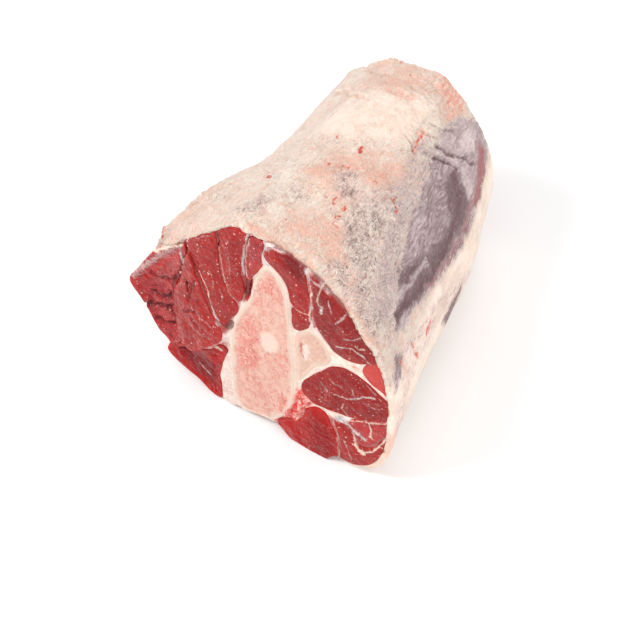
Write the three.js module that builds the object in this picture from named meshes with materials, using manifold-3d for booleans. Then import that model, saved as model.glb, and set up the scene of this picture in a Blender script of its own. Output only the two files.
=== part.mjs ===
// A beef shank on the bone, sawn across at both ends and lying on its side.
// Millimetres. +Y runs along the shank from the wide cut to the narrow one, +Z is up.
// Each muscle, the two bones, the fascia between them and the fat cover are solids of their own
// that run from cut to cut, so both cuts show the same layout.

import * as THREE from "three";
import { mergeVertices } from "three/addons/utils/BufferGeometryUtils.js";
import Module from "manifold-3d";

// Driving dimensions
const LENGTH = 198; // between the two saw cuts
const SPANS = 6; // straight stretches along the shank
const GAP = 0.35; // air between neighbouring solids
const SEAM = 1.3; // silver skin between two muscles at the wide cut
const FASCIA_SET_BACK = 1; // how far the fascia lies behind the meat at a cut
const WALL_STEPS = 48; // points round the body
const END_RINGS = [0.25, 0.45, 0.65, 0.82]; // rings of points over the ends of the body
const BEYOND = 15; // how far cutting shapes run past the cuts
const FLOOR = -GAP; // the body's limit, so that what lies GAP inside it rests on z = 0
const SHIFT = [2, 1.4, 0]; // puts the origin under the middle of the whole piece

// Middle of each cut, which the radii are measured from
const NEAR_MIDDLE = [0, 61];
const FAR_MIDDLE = [-15, 54.5];

// Outline of the meat at the wide cut and at the narrow one, [x, z], counterclockwise from the right.
// Points below the floor are pressed flat by it.
const NEAR_BODY = [
  [80, 51], [79, 67], [75, 86], [67, 101], [49, 121], [34, 132], [17, 139], [0, 141],
  [-9, 141], [-19, 133], [-30, 123], [-51, 99], [-64, 86], [-77, 73], [-86, 60], [-78, 41],
  [-67, 29], [-62, 23], [-65, 14], [-58, 9], [-43, 5], [-29, 0], [-15, 3], [-2, 6],
  [11, 7], [21, 0], [32, -5], [43, -3], [51, 6], [62, 7], [72, 14], [79, 30],
];
const FAR_BODY = [
  [37, 44], [35, 65], [26, 85], [13, 100], [-3, 109], [-25, 109], [-42, 102], [-58, 87],
  [-68, 67], [-69, 44], [-62, 23], [-46, 6], [-24, -5], [0, -6], [20, 0], [32, 18],
];

// Slow swellings and hollows of the wall: angle and half width in degrees, place and half length
// along the shank as shares of it, height.
const SWELLS = [
  { angle: 140, spread: 50, place: 0.18, reach: 0.3, height: 9 },
  { angle: 135, spread: 45, place: 0.62, reach: 0.3, height: -6 },
  { angle: -15, spread: 45, place: 0.65, reach: 0.4, height: 5 },
  { angle: 75, spread: 35, place: 0.45, reach: 0.35, height: 2.5 },
];

// Fat cover
const COVER_FROM = -45; // degrees, its edge under the right side
const COVER_TO = 195; // its edge on the left flank
const COVER_THICK = 3;
const COVER_EDGE = 1.1; // thickness at both long edges
const COVER_TAPER = 14; // degrees over which it thins to them
const COVER_COLUMNS = ((COVER_TO - COVER_FROM) * WALL_STEPS) / 360;
const COVER_ROWS = 2 * SPANS;
const COVER_PULLED = 24; // how far its rim is drawn back from the cut at the left flank
const COVER_PULLED_FROM = 138; // degrees

// Depth of the wide cut behind its flat saw plane
const TORN_DEPTH = 5.5; // the left side was torn and lies deeper
const TORN_FROM = -28;
const TORN_TO = -65;
const SAGGED = 2.5; // the lower right side sags forwards
const FAR_CROWN = 3.5; // how far the narrow cut's edge lies behind its middle
const FAR_RADIUS = 53;

const MEAT = "#a8383a";
const PALE_MEAT = "#c0504c";
const WET_MEAT = "#ae2a2c";
const DARK_MEAT = "#8c2a30";

// Muscles: outline at the wide cut, [x, z], counterclockwise, and how far its face lies behind the
// cut's general surface. What lies outside the body is cut away.
const MUSCLES = {
  muscle_left_tip: {
    color: DARK_MEAT,
    behind: 3,
    outline: [
      [-42, 99], [-41, 109], [-53, 102], [-67, 90], [-79, 77], [-91, 60], [-81, 39],
      [-69, 27], [-61, 21], [-55, 27], [-53, 36], [-55, 49], [-54, 63], [-52, 75], [-46, 87],
    ],
  },
  muscle_left_inner: {
    color: MEAT,
    behind: -2,
    outline: [
      [-37, 110], [-42, 99], [-45, 86], [-51, 75], [-53, 62], [-53, 49], [-51, 36],
      [-45, 31], [-37, 37], [-28, 46], [-20, 55], [-19, 63], [-25, 73], [-29, 85], [-33, 97],
    ],
  },
  muscle_left_top: {
    color: MEAT,
    behind: -0.5,
    outline: [
      [-33, 97], [-29, 85], [-25, 73], [-19, 66], [-13, 75], [-8, 84], [-10, 90], [-16, 99],
      [-18, 112], [-18, 126], [-20, 137], [-33, 127], [-39, 117],
    ],
  },
  muscle_top: {
    color: MEAT,
    behind: -0.5,
    outline: [
      [-18, 138], [-18, 126], [-18, 112], [-16, 99], [-12, 91], [-7, 91], [-4, 99],
      [-5, 110], [-5, 121], [-2, 132], [0, 140], [-2, 147], [-11, 146],
    ],
  },
  muscle_top_strip: {
    color: DARK_MEAT,
    behind: 0.5,
    outline: [
      [1, 138], [0, 131], [-2, 122], [-2, 115], [-1, 110], [3, 118], [6, 124], [7, 130],
      [10, 135], [8, 139],
    ],
  },
  muscle_crown: {
    color: MEAT,
    behind: -0.5,
    outline: [
      [12, 138], [9, 131], [12, 126], [17, 122], [22, 115], [23, 106], [27, 104], [34, 104],
      [35, 112], [33, 123], [31, 134], [25, 138], [18, 139],
    ],
  },
  muscle_crown_small: {
    color: MEAT,
    behind: 0,
    outline: [[27, 104], [23, 104], [22, 96], [24, 89], [29, 89], [34, 96], [34, 104]],
  },
  muscle_right_long: {
    color: MEAT,
    behind: -0.5,
    outline: [
      [37, 132], [37, 120], [37, 107], [39, 97], [43, 91], [48, 86], [57, 84], [67, 88],
      [74, 94], [70, 103], [61, 114], [51, 123], [43, 130],
    ],
  },
  muscle_right_pale: {
    color: PALE_MEAT,
    behind: 0.5,
    outline: [
      [75, 94], [68, 89], [64, 81], [67, 75], [75, 71], [84, 68], [83, 81], [79, 90],
    ],
  },
  muscle_right_oval: {
    color: MEAT,
    behind: -0.5,
    outline: [
      [30, 54], [29, 46], [35, 41], [44, 41], [57, 43], [68, 47], [77, 52], [85, 56],
      [85, 63], [75, 70], [66, 75], [57, 78], [47, 75], [38, 64],
    ],
  },
  muscle_lower_round: {
    color: WET_MEAT,
    behind: 0,
    outline: [
      [38, 39], [32, 34], [30, 27], [26, 20], [18, 16], [12, 8], [21, -7], [33, -11],
      [47, -9], [52, 5], [53, 16], [52, 23], [48, 31], [44, 38],
    ],
  },
  muscle_lower_cup: {
    color: MEAT,
    behind: 0,
    outline: [
      [49, 36], [50, 30], [53, 22], [53, 10], [54, 0], [64, 0], [77, 9], [85, 26],
      [82, 41], [78, 38], [72, 27], [64, 25], [59, 31], [56, 38],
    ],
  },
  muscle_lower_core: {
    color: DARK_MEAT,
    behind: -0.5,
    outline: [
      [58, 41], [61, 35], [66, 29], [71, 31], [76, 38], [81, 48], [79, 53], [68, 47],
    ],
  },
  muscle_left_flap: {
    color: WET_MEAT,
    behind: 2,
    outline: [
      [-69, 15], [-65, 3], [-44, -2], [-28, -8], [-25, 4], [-25, 22], [-22, 35], [-19, 46],
      [-24, 47], [-31, 39], [-41, 32], [-51, 27], [-59, 24], [-65, 20],
    ],
  },
};

// Bones, sawn through with the meat
const BONES = {
  bone_main: {
    color: "#e3b8a6",
    behind: -1,
    outline: [
      [12, 125], [5, 119], [1, 104], [-5, 90], [-11, 75], [-14, 53], [-15, 31], [-13, 12],
      [-6, 6], [7, 7], [16, 16], [23, 31], [25, 48], [24, 70], [22, 91], [20, 109], [16, 120],
    ],
  },
  bone_small: {
    color: "#ead2bb",
    behind: 0,
    outline: [
      [32, 92], [26, 86], [26, 67], [27, 52], [32, 59], [37, 68], [44, 74], [46, 79],
      [44, 85], [38, 91],
    ],
  },
};

const POINT_EVERY = 10; // spacing of the points round a section
const FEWEST_POINTS = 12;
const MOST_POINTS = 22;
const FASCIA_COLOR = "#e8d3c6";
const COVER_COLOR = "#ead2c0";

const wasm = await Module();
wasm.setup();

const STATIONS = Array.from({ length: SPANS + 1 }, (_, i) => i);
const SPAN_LENGTH = LENGTH / SPANS;
const smooth = THREE.MathUtils.smoothstep;
const lerp = THREE.MathUtils.lerp;
const toRadians = THREE.MathUtils.degToRad;

// The smooth closed curve through an outline
function closedCurve(outline) {
  const points = outline.map(([x, z]) => new THREE.Vector3(x, 0, z));
  return new THREE.CatmullRomCurve3(points, true, "centripetal");
}

function spaced(curve, count) {
  return curve.getSpacedPoints(count).slice(0, count).map((p) => [p.x, p.z]);
}

// Radius of an outline in any direction from its middle
function radiusOf(outline, middle) {
  const samples = spaced(closedCurve(outline), 360)
    .map(([x, z]) => [x - middle[0], z - middle[1]])
    .map(([x, z]) => [Math.atan2(z, x), Math.hypot(x, z)])
    .sort((a, b) => a[0] - b[0]);
  const first = samples[0];
  const last = samples.at(-1);
  const turn = 2 * Math.PI;
  const wrapped = [[last[0] - turn, last[1]], ...samples, [first[0] + turn, first[1]]];
  return (angle) => {
    const a = Math.atan2(Math.sin(angle), Math.cos(angle));
    const next = wrapped.findIndex((sample) => sample[0] > a);
    const [a0, r0] = wrapped[next - 1];
    const [a1, r1] = wrapped[next];
    return lerp(r0, r1, (a - a0) / (a1 - a0));
  };
}

const nearRadius = radiusOf(NEAR_BODY, NEAR_MIDDLE);
const farRadius = radiusOf(FAR_BODY, FAR_MIDDLE);

function middleAt(share) {
  return NEAR_MIDDLE.map((value, axis) => lerp(value, FAR_MIDDLE[axis], share));
}

// Smooth hump of height 1, gone at one reach to either side
function hump(distance, reach) {
  return 1 - smooth(Math.abs(distance), 0, reach);
}

function coverThickness(angle) {
  const degrees = THREE.MathUtils.radToDeg(angle);
  const edge = Math.min(degrees - COVER_FROM, COVER_TO - degrees);
  if (edge < 0) return 0;
  return lerp(COVER_EDGE, COVER_THICK, smooth(edge, 0, COVER_TAPER));
}

// Angle between -110 and 250 degrees, so that the cover's stretch is one unbroken range
function unwrapped(angle) {
  const start = toRadians(-110);
  return start + THREE.MathUtils.euclideanModulo(angle - start, 2 * Math.PI);
}

// Radius of the meat at a station, pressed flat where the shank rests
function wallRadius(angle, share) {
  const free = lerp(nearRadius(angle), farRadius(angle), share);
  const swell = SWELLS.reduce((sum, s) => {
    const off = unwrapped(angle - toRadians(s.angle - 70)) - toRadians(70);
    return sum + s.height * hump(off, toRadians(s.spread)) * hump(share - s.place, s.reach);
  }, 0);
  const radius = free + swell;
  const fall = -Math.sin(angle);
  if (fall <= 0) return radius;
  const floor = FLOOR + coverThickness(unwrapped(angle));
  return Math.min(radius, (middleAt(share)[1] - floor) / fall);
}

// How far the wide cut lies behind its saw plane at a point
function cutDepth(x, z) {
  const torn = TORN_DEPTH * (1 - smooth(x, TORN_TO, TORN_FROM));
  const sag = SAGGED * smooth(x, 4, 40) * (1 - smooth(z, 22, 62));
  return torn - sag;
}

function stationY(station) {
  return station * SPAN_LENGTH - LENGTH / 2;
}

// Point of a station: an angle, a share of the wall's radius and a distance outside it
function stationPoint(angle, share, station, outside = 0) {
  const along = station / SPANS;
  const [x, z] = middleAt(along);
  const radius = wallRadius(angle, along) * share + outside;
  return [x + radius * Math.cos(angle), z + radius * Math.sin(angle)];
}

// Points of the wide cut as angles and shares of the wall's radius
function asShares(points) {
  return points.map(([x, z]) => {
    const dx = x - NEAR_MIDDLE[0];
    const dz = z - NEAR_MIDDLE[1];
    const angle = Math.atan2(dz, dx);
    return { angle, share: Math.hypot(dx, dz) / wallRadius(angle, 0) };
  });
}

// A closed outline moved inwards along its own normals
function inset(points, distance) {
  const count = points.length;
  return points.map(([x, z], i) => {
    const before = points[(i + count - 1) % count];
    const after = points[(i + 1) % count];
    const dx = after[0] - before[0];
    const dz = after[1] - before[1];
    const size = Math.hypot(dx, dz) || 1;
    return [x - (distance * dz) / size, z + (distance * dx) / size];
  });
}

// Where a line of the wall or of a strand meets a cut. "here" is its point at the cut's station,
// "next" at the station before it, and the end is carried past the cut by "beyond".
function endPoint(here, next, ring, behind, beyond) {
  const [x, z] = here;
  const [cx, cz] = FAR_MIDDLE;
  const crown = FAR_CROWN * (Math.hypot(x - cx, z - cz) / FAR_RADIUS) ** 2;
  const inwards = (ring === 0 ? cutDepth(x, z) : crown) + behind - beyond;
  const side = ring === 0 ? 1 : -1;
  const share = inwards / SPAN_LENGTH;
  const y = stationY(ring) + side * inwards;
  return [lerp(x, next[0], share), y, Math.max(FLOOR, lerp(z, next[1], share))];
}

// Rings of [x, z] points, one for each station, as places in space that end on the cuts
function placed(rings, behind, beyond) {
  return rings.map((points, ring) => {
    if (ring > 0 && ring < SPANS) return points.map(([x, z]) => [x, stationY(ring), z]);
    const next = rings[ring === 0 ? 1 : SPANS - 1];
    return points.map((point, i) => endPoint(point, next[i], ring, behind, beyond));
  });
}

function geometryOf(positions, triangles) {
  const geometry = new THREE.BufferGeometry();
  geometry.setAttribute("position", new THREE.Float32BufferAttribute(positions.flat(), 3));
  geometry.setIndex(triangles.flat());
  return geometry;
}

function solidOf(geometry) {
  const bare = geometry.clone();
  bare.deleteAttribute("normal");
  bare.deleteAttribute("uv");
  const merged = mergeVertices(bare);
  const vertProperties = merged.attributes.position.array;
  const triVerts = new Uint32Array(merged.index.array);
  return new wasm.Manifold(new wasm.Mesh({ numProp: 3, vertProperties, triVerts }));
}

function geometryFrom(solid) {
  const mesh = solid.getMesh();
  const geometry = new THREE.BufferGeometry();
  geometry.setAttribute("position", new THREE.BufferAttribute(mesh.vertProperties, 3));
  geometry.setIndex(new THREE.BufferAttribute(mesh.triVerts, 1));
  return geometry;
}

// Side walls between rings of equal size, ring after ring
function sideTriangles(rings, count) {
  const triangles = [];
  for (let ring = 0; ring < rings - 1; ring += 1) {
    for (let i = 0; i < count; i += 1) {
      const a = ring * count + i;
      const b = ring * count + ((i + 1) % count);
      triangles.push([a, a + count, b], [a + count, b + count, b]);
    }
  }
  return triangles;
}

// Triangles over a closed outline. Points in line would be dropped, so each is moved a hair first.
function capTriangles(points) {
  const hair = 1e-3;
  const bent = inset(points, hair).map((p, i) => (i % 2 ? p : points[i]));
  return THREE.ShapeUtils.triangulateShape(bent.map(([x, z]) => new THREE.Vector2(x, z)), []);
}

// A strand that runs from cut to cut
function strand(outline, { seam = 0, gap = 0, behind = 0, beyond = 0 }) {
  const curve = closedCurve(outline);
  const wanted = Math.round(curve.getLength() / POINT_EVERY);
  const count = THREE.MathUtils.clamp(wanted, FEWEST_POINTS, MOST_POINTS);
  const shares = asShares(inset(spaced(curve, count), seam / 2));
  const rings = STATIONS.map((station) =>
    inset(shares.map(({ angle, share }) => stationPoint(angle, share, station)), gap),
  );
  const positions = placed(rings, behind, beyond).flat();
  const last = SPANS * count;
  const triangles = sideTriangles(STATIONS.length, count);
  for (const [a, b, c] of capTriangles(rings[0])) {
    triangles.push([a, b, c], [last + a, last + c, last + b]);
  }
  return geometryOf(positions, triangles);
}

// The whole inside of the fat cover, with ends made of rings that follow the cuts
function wholeBody(behind, beyond, outside = -GAP) {
  const angles = Array.from({ length: WALL_STEPS }, (_, i) => (2 * Math.PI * i) / WALL_STEPS);
  const ringsAt = (share, outside) =>
    STATIONS.map((station) => angles.map((a) => stationPoint(a, share, station, outside)));
  const wall = placed(ringsAt(1, outside), behind, beyond);
  const inner = END_RINGS.map((share) => placed(ringsAt(share, 0), behind, beyond));
  const near = inner.map((rings) => rings[0]);
  const far = inner.map((rings) => rings[SPANS]).toReversed();
  const rings = [...near, ...wall, ...far];
  const middle = placed(ringsAt(0, 0), behind, beyond);
  const positions = [...rings.flat(), middle[0][0], middle[SPANS][0]];
  const triangles = sideTriangles(rings.length, WALL_STEPS);
  const last = (rings.length - 1) * WALL_STEPS;
  const centre = rings.length * WALL_STEPS;
  for (let i = 0; i < WALL_STEPS; i += 1) {
    const next = (i + 1) % WALL_STEPS;
    triangles.push([centre, i, next], [centre + 1, last + next, last + i]);
  }
  return solidOf(geometryOf(positions, triangles));
}

// What the fat cover and the floor leave room for, longer than the shank
const inside = wholeBody(0, BEYOND).trimByPlane([0, 0, 1], 0);

function trimmed(geometry) {
  return geometryFrom(solidOf(geometry).intersect(inside));
}

// Silver skin, tendons and seam fat: the body less a channel for every muscle and bone
function fascia() {
  let left = wholeBody(FASCIA_SET_BACK, 0, BEYOND).intersect(inside);
  for (const { outline } of Object.values(MUSCLES)) {
    const channel = strand(outline, { seam: SEAM, beyond: BEYOND });
    left = left.subtract(solidOf(channel));
  }
  for (const { outline } of Object.values(BONES)) {
    left = left.subtract(solidOf(strand(outline, { beyond: BEYOND })));
  }
  const pieces = left.decompose().sort((a, b) => b.volume() - a.volume());
  return geometryFrom(pieces[0]);
}

// A thick sleeve open along the underside, its rim drawn back at the left flank
function coverSleeve() {
  const columns = COVER_COLUMNS + 1;
  const rows = COVER_ROWS + 1;
  const layers = [[], []];
  for (let row = 0; row < rows; row += 1) {
    for (let column = 0; column < columns; column += 1) {
      const degrees = lerp(COVER_FROM, COVER_TO, column / COVER_COLUMNS);
      const angle = toRadians(degrees);
      const pulled = COVER_PULLED * smooth(degrees, COVER_PULLED_FROM, COVER_TO);
      const wave = 0.6 * Math.sin(angle * 9) + 0.4 * Math.sin(angle * 17 + 1);
      const start = cutDepth(...stationPoint(angle, 1, 0)) + 1 + wave + pulled;
      const end = LENGTH - FAR_CROWN - 1 - wave;
      const along = lerp(start, end, row / COVER_ROWS);
      const station = (along / LENGTH) * SPANS;
      const before = Math.min(SPANS - 1, Math.max(0, Math.floor(station)));
      const share = station - before;
      const lower = stationPoint(angle, 1, before);
      const upper = stationPoint(angle, 1, before + 1);
      const x = lerp(lower[0], upper[0], share);
      const z = lerp(lower[1], upper[1], share);
      const y = along - LENGTH / 2;
      [-COVER_THICK, coverThickness(angle)].forEach((thick, layer) => {
        const height = Math.max(0, z + thick * Math.sin(angle));
        layers[layer].push([x + thick * Math.cos(angle), y, height]);
      });
    }
  }
  const size = columns * rows;
  const triangles = [];
  const quad = (a, b, c, d) => triangles.push([a, b, c], [a, c, d]);
  for (let row = 0; row < COVER_ROWS; row += 1) {
    for (let column = 0; column < COVER_COLUMNS; column += 1) {
      const a = row * columns + column;
      const d = a + columns;
      quad(a, a + 1, d + 1, d);
      quad(size + a, size + d, size + d + 1, size + a + 1);
    }
  }
  for (let column = 0; column < COVER_COLUMNS; column += 1) {
    const far = COVER_ROWS * columns + column;
    quad(column, size + column, size + column + 1, column + 1);
    quad(far, far + 1, size + far + 1, size + far);
  }
  for (let row = 0; row < COVER_ROWS; row += 1) {
    const right = row * columns;
    const left = right + COVER_COLUMNS;
    quad(right, right + columns, size + right + columns, size + right);
    quad(left, size + left, size + left + columns, left + columns);
  }
  return geometryOf([...layers[0], ...layers[1]], triangles);
}

function fatCover() {
  return geometryFrom(solidOf(coverSleeve()).subtract(wholeBody(0, BEYOND, 0)));
}

function meshOf(name, geometry, color, roughness) {
  geometry.computeVertexNormals();
  const material = new THREE.MeshStandardMaterial({ color, roughness, metalness: 0 });
  const mesh = new THREE.Mesh(geometry, material);
  mesh.name = name;
  return mesh;
}

const shank = new THREE.Group();
const meat = new THREE.Group();
for (const [name, { outline, color, behind }] of Object.entries(MUSCLES)) {
  const muscle = strand(outline, { seam: SEAM, gap: GAP, behind });
  meat.add(meshOf(name, trimmed(muscle), color, 0.35));
}
const bones = new THREE.Group();
for (const [name, { outline, color, behind }] of Object.entries(BONES)) {
  bones.add(meshOf(name, trimmed(strand(outline, { gap: GAP, behind })), color, 0.6));
}
shank.add(meat, bones);
shank.add(meshOf("fascia", fascia(), FASCIA_COLOR, 0.45));
shank.add(meshOf("fat_cover", fatCover(), COVER_COLOR, 0.5));
shank.position.set(...SHIFT);

export default shank;
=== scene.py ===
"""Looks of a raw beef shank on the bone: fat cover, silver skin, muscles and sawn bone."""

import logging
import math
from collections.abc import Callable
from dataclasses import dataclass, field, replace
from enum import Enum

import bpy
import numpy as np
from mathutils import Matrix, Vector
from mathutils.geometry import delaunay_2d_cdt


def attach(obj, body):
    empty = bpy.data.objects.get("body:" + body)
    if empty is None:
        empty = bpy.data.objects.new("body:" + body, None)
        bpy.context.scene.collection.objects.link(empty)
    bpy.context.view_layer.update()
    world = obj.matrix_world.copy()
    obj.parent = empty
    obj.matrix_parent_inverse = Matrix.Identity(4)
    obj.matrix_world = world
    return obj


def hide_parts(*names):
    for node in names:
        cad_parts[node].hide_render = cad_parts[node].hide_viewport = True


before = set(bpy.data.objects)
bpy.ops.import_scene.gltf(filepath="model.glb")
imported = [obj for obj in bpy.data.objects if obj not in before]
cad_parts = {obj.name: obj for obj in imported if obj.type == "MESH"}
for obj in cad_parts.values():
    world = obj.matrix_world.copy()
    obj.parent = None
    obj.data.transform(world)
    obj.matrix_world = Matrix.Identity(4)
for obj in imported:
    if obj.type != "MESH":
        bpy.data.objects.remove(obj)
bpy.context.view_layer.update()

LOG = logging.getLogger("shank")
MM = 0.001
HIDDEN_EVERY = 11

Path = tuple[tuple[float, float], ...]
Colour = tuple[float, float, float]
Place = tuple[float, float, float]
Array = np.ndarray


class Tone(Enum):
    """What a spot of the surface is made of, kept as an attribute of the mesh; DARK on the meat and the
    sheath is painted shade in creases and hollows, SHEEN on the fat is a painted highlight, and some DUSK
    and PINK marks on the fat are painted shade in creases.
    """

    SILVER = "silver"
    DARK = "dark"
    BLOOD = "blood"
    FATTY = "fatty"
    SKIN = "skin"
    RIM = "rim"
    BAND = "band"
    DUSK = "dusk"
    SHEEN = "sheen"
    MAROON = "maroon"
    RAW = "raw"
    GREY = "grey"
    PINK = "pink"
    SMOOTH = "smooth"
    FRAYED = "frayed"


class Cut(Enum):
    """Kinds of finish a strand can have."""

    MEAT = "meat"
    DARK = "dark_meat"
    WET = "wet_meat"
    PALE = "pale_meat"
    BONE = "bone"
    SMALL_BONE = "small_bone"


# Sizes and curves


def ease(value: Array, start: float, end: float) -> Array:
    """Smooth step from 0 at start to 1 at end."""
    share = np.clip((value - start) / (end - start), 0.0, 1.0)
    return share * share * (3.0 - 2.0 * share)


@dataclass(frozen=True)
class Grain:
    """Smooth random relief in space, the same at each run."""

    size: float
    seed: int = 1

    def at(self, points: Array, stretch: Place = (1, 1, 1)) -> Array:
        """Values of the relief.

        Args:
            points: Places in millimetres.
            stretch: How much longer the grain is along each axis.

        Returns:
            One value for each place, about -1 to 1.
        """
        place = points / (self.size * np.array(stretch, float)) + 37.7 * self.seed
        cell = np.floor(place).astype(np.int64)
        inner = place - cell
        fade = inner**3 * (inner * (inner * 6 - 15) + 10)
        total = np.zeros(len(points))
        for corner in np.ndindex(2, 2, 2):
            shift = np.array(corner)
            slope = self._slope(cell + shift)
            weight = np.prod(np.where(shift == 1, fade, 1 - fade), axis=1)
            total += weight * np.sum(slope * (inner - shift), axis=1)
        return total * 1.6

    @staticmethod
    def _slope(cell: Array) -> Array:
        """Pseudo-random slope at each corner of the grid."""
        mixed = cell[:, 0] * 73856093 ^ cell[:, 1] * 19349663 ^ cell[:, 2] * 83492791
        parts = []
        for step in (12289, 24593, 49157):
            value = (mixed * step) & 0x7FFFFFFF
            value = ((value ^ (value >> 15)) * 1103515245 + 12345) & 0x7FFFFFFF
            value = (value ^ (value >> 13)) & 0xFFFF
            parts.append(value / 32767.5 - 1.0)
        return np.stack(parts, axis=1)


def pushes(size: float, seed: int, places: Array) -> Array:
    """Two reliefs side by side, which push flat points about."""
    return np.stack([Grain(size, seed).at(places), Grain(size, seed + 1).at(places)], axis=1)


def upright(flat: Array, along: float = 0.0) -> Array:
    """Flat points of a cut stood up in space."""
    return np.stack([flat[:, 0], np.full(len(flat), along), flat[:, 1]], axis=1)


def closed_curve(outline: Path, step: float) -> Array:
    """Evenly spaced points on the smooth closed curve through an outline.

    Args:
        outline: Corners of the curve.
        step: Distance between the points.

    Returns:
        Array of points.
    """
    corners = np.array(outline, float)
    pieces = []
    for i in range(len(corners)):
        p0, p1, p2, p3 = (corners[(i + k) % len(corners)] for k in (-1, 0, 1, 2))
        sides = ((p0, p1), (p1, p2), (p2, p3))
        d0, d1, d2 = (math.sqrt(max(float(np.linalg.norm(b - a)), 1e-6)) for a, b in sides)
        m1 = ((p1 - p0) / d0 - (p2 - p0) / (d0 + d1) + (p2 - p1) / d1) * d1
        m2 = ((p2 - p1) / d1 - (p3 - p1) / (d1 + d2) + (p3 - p2) / d2) * d1
        t = np.arange(0, 1, 0.1)[:, None]
        pieces.append(
            (2 * t**3 - 3 * t**2 + 1) * p1
            + (t**3 - 2 * t**2 + t) * m1
            + (3 * t**2 - 2 * t**3) * p2
            + (t**3 - t**2) * m2
        )
    return evened(np.vstack(pieces), step)


def evened(points: Array, step: float) -> Array:
    """Points spread evenly along a closed line, a step apart."""
    closed = np.vstack([points, points[:1]])
    run = np.concatenate([[0], np.cumsum(np.linalg.norm(np.diff(closed, axis=0), axis=1))])
    count = max(10, int(round(run[-1] / step)))
    wanted = np.linspace(0, run[-1], count, endpoint=False)
    return np.stack([np.interp(wanted, run, closed[:, k]) for k in (0, 1)], axis=1)


def distance_to(path: Array, points: Array, closed: bool = False) -> Array:
    """Distance from points to a line of straight pieces.

    Args:
        path: Corners of the line.
        points: Points to measure from.
        closed: Whether the line returns to its start.

    Returns:
        One distance for each point.
    """
    ends = np.roll(path, -1, axis=0) if closed else path[1:]
    starts = path if closed else path[:-1]
    best = np.full(len(points), 1e9)
    for a, b in zip(starts, ends):
        along = b - a
        size = max(float(along @ along), 1e-9)
        share = np.clip((points - a) @ along / size, 0, 1)
        gap = points - a - share[:, None] * along
        best = np.minimum(best, np.einsum("ij,ij->i", gap, gap))
    return np.sqrt(best)


def is_inside(outline: Array, points: Array) -> Array:
    """Which points lie inside a closed outline."""
    inside = np.zeros(len(points), bool)
    x, z = points[:, 0], points[:, 1]
    for (x0, z0), (x1, z1) in zip(outline, np.roll(outline, -1, axis=0)):
        if z0 != z1:
            crosses = (z0 > z) != (z1 > z)
            inside ^= crosses & (x < (x1 - x0) * (z - z0) / (z1 - z0) + x0)
    return inside


def moved_in(outline: Array, distance: float) -> Array:
    """A closed counterclockwise outline moved inwards by a distance."""
    along = np.roll(outline, -1, axis=0) - np.roll(outline, 1, axis=0)
    size = np.maximum(np.linalg.norm(along, axis=1, keepdims=True), 1e-9)
    return outline + distance * np.stack([-along[:, 1], along[:, 0]], axis=1) / size


@dataclass(frozen=True)
class Mark:
    """A vein, fold, seam or smear: a line on the surface with a width, a depth and a tone."""

    tone: Tone
    path: Path
    width: float = 0.6
    depth: float = 0.0
    strength: float = 1.0

    def press(self, points: Array, uneven: Array) -> tuple[Array, Array]:
        """Depth and tone of each place; the uneven relief makes the mark thicker and thinner."""
        line = np.array(self.path, float)
        width = self.width * (1.0 + 0.8 * uneven)
        near = 1.0 - ease(distance_to(line, points) / np.maximum(width, 0.05), 0.35, 1.25)
        return self.depth * near, self.strength * near


@dataclass(frozen=True)
class Patch:
    """A field of one tone with a soft edge."""

    tone: Tone
    path: Path
    edge: float = 3.0
    strength: float = 1.0
    depth: float = 0.0

    def cover(self, points: Array) -> Array:
        """How far each place lies in the patch, 0 to 1."""
        corners = np.array(self.path, float)
        gap = distance_to(corners, points, closed=True)
        return ease(np.where(is_inside(corners, points), gap, -gap), -self.edge, self.edge)

    def press(self, points: Array, uneven: Array) -> tuple[Array, Array]:
        """Depth and tone of each place."""
        covered = self.cover(points)
        return self.depth * covered, self.strength * covered


def by_tone(kind: type, rows: dict[Tone, tuple]) -> tuple:
    """Marks or patches from rows that leave out their tone."""
    return tuple(kind(tone, *row) for tone, group in rows.items() for row in group)


def press_in(
    shapes: tuple[Mark | Patch, ...], places: Array, uneven: Array, depth: Array, tones: dict[Tone, Array]
) -> None:
    """Adds marks and patches to a surface's depths and tones.

    Args:
        shapes: The marks and patches.
        places: The surface's points, laid flat.
        uneven: Relief that makes the marks thicker and thinner.
        depth: Depths, which are added up in place.
        tones: Tones, of which each place keeps the strongest.
    """
    for shape in shapes:
        pressed, amount = shape.press(places, uneven)
        depth += pressed
        tones[shape.tone] = np.maximum(tones.get(shape.tone, 0.0), amount)


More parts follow.
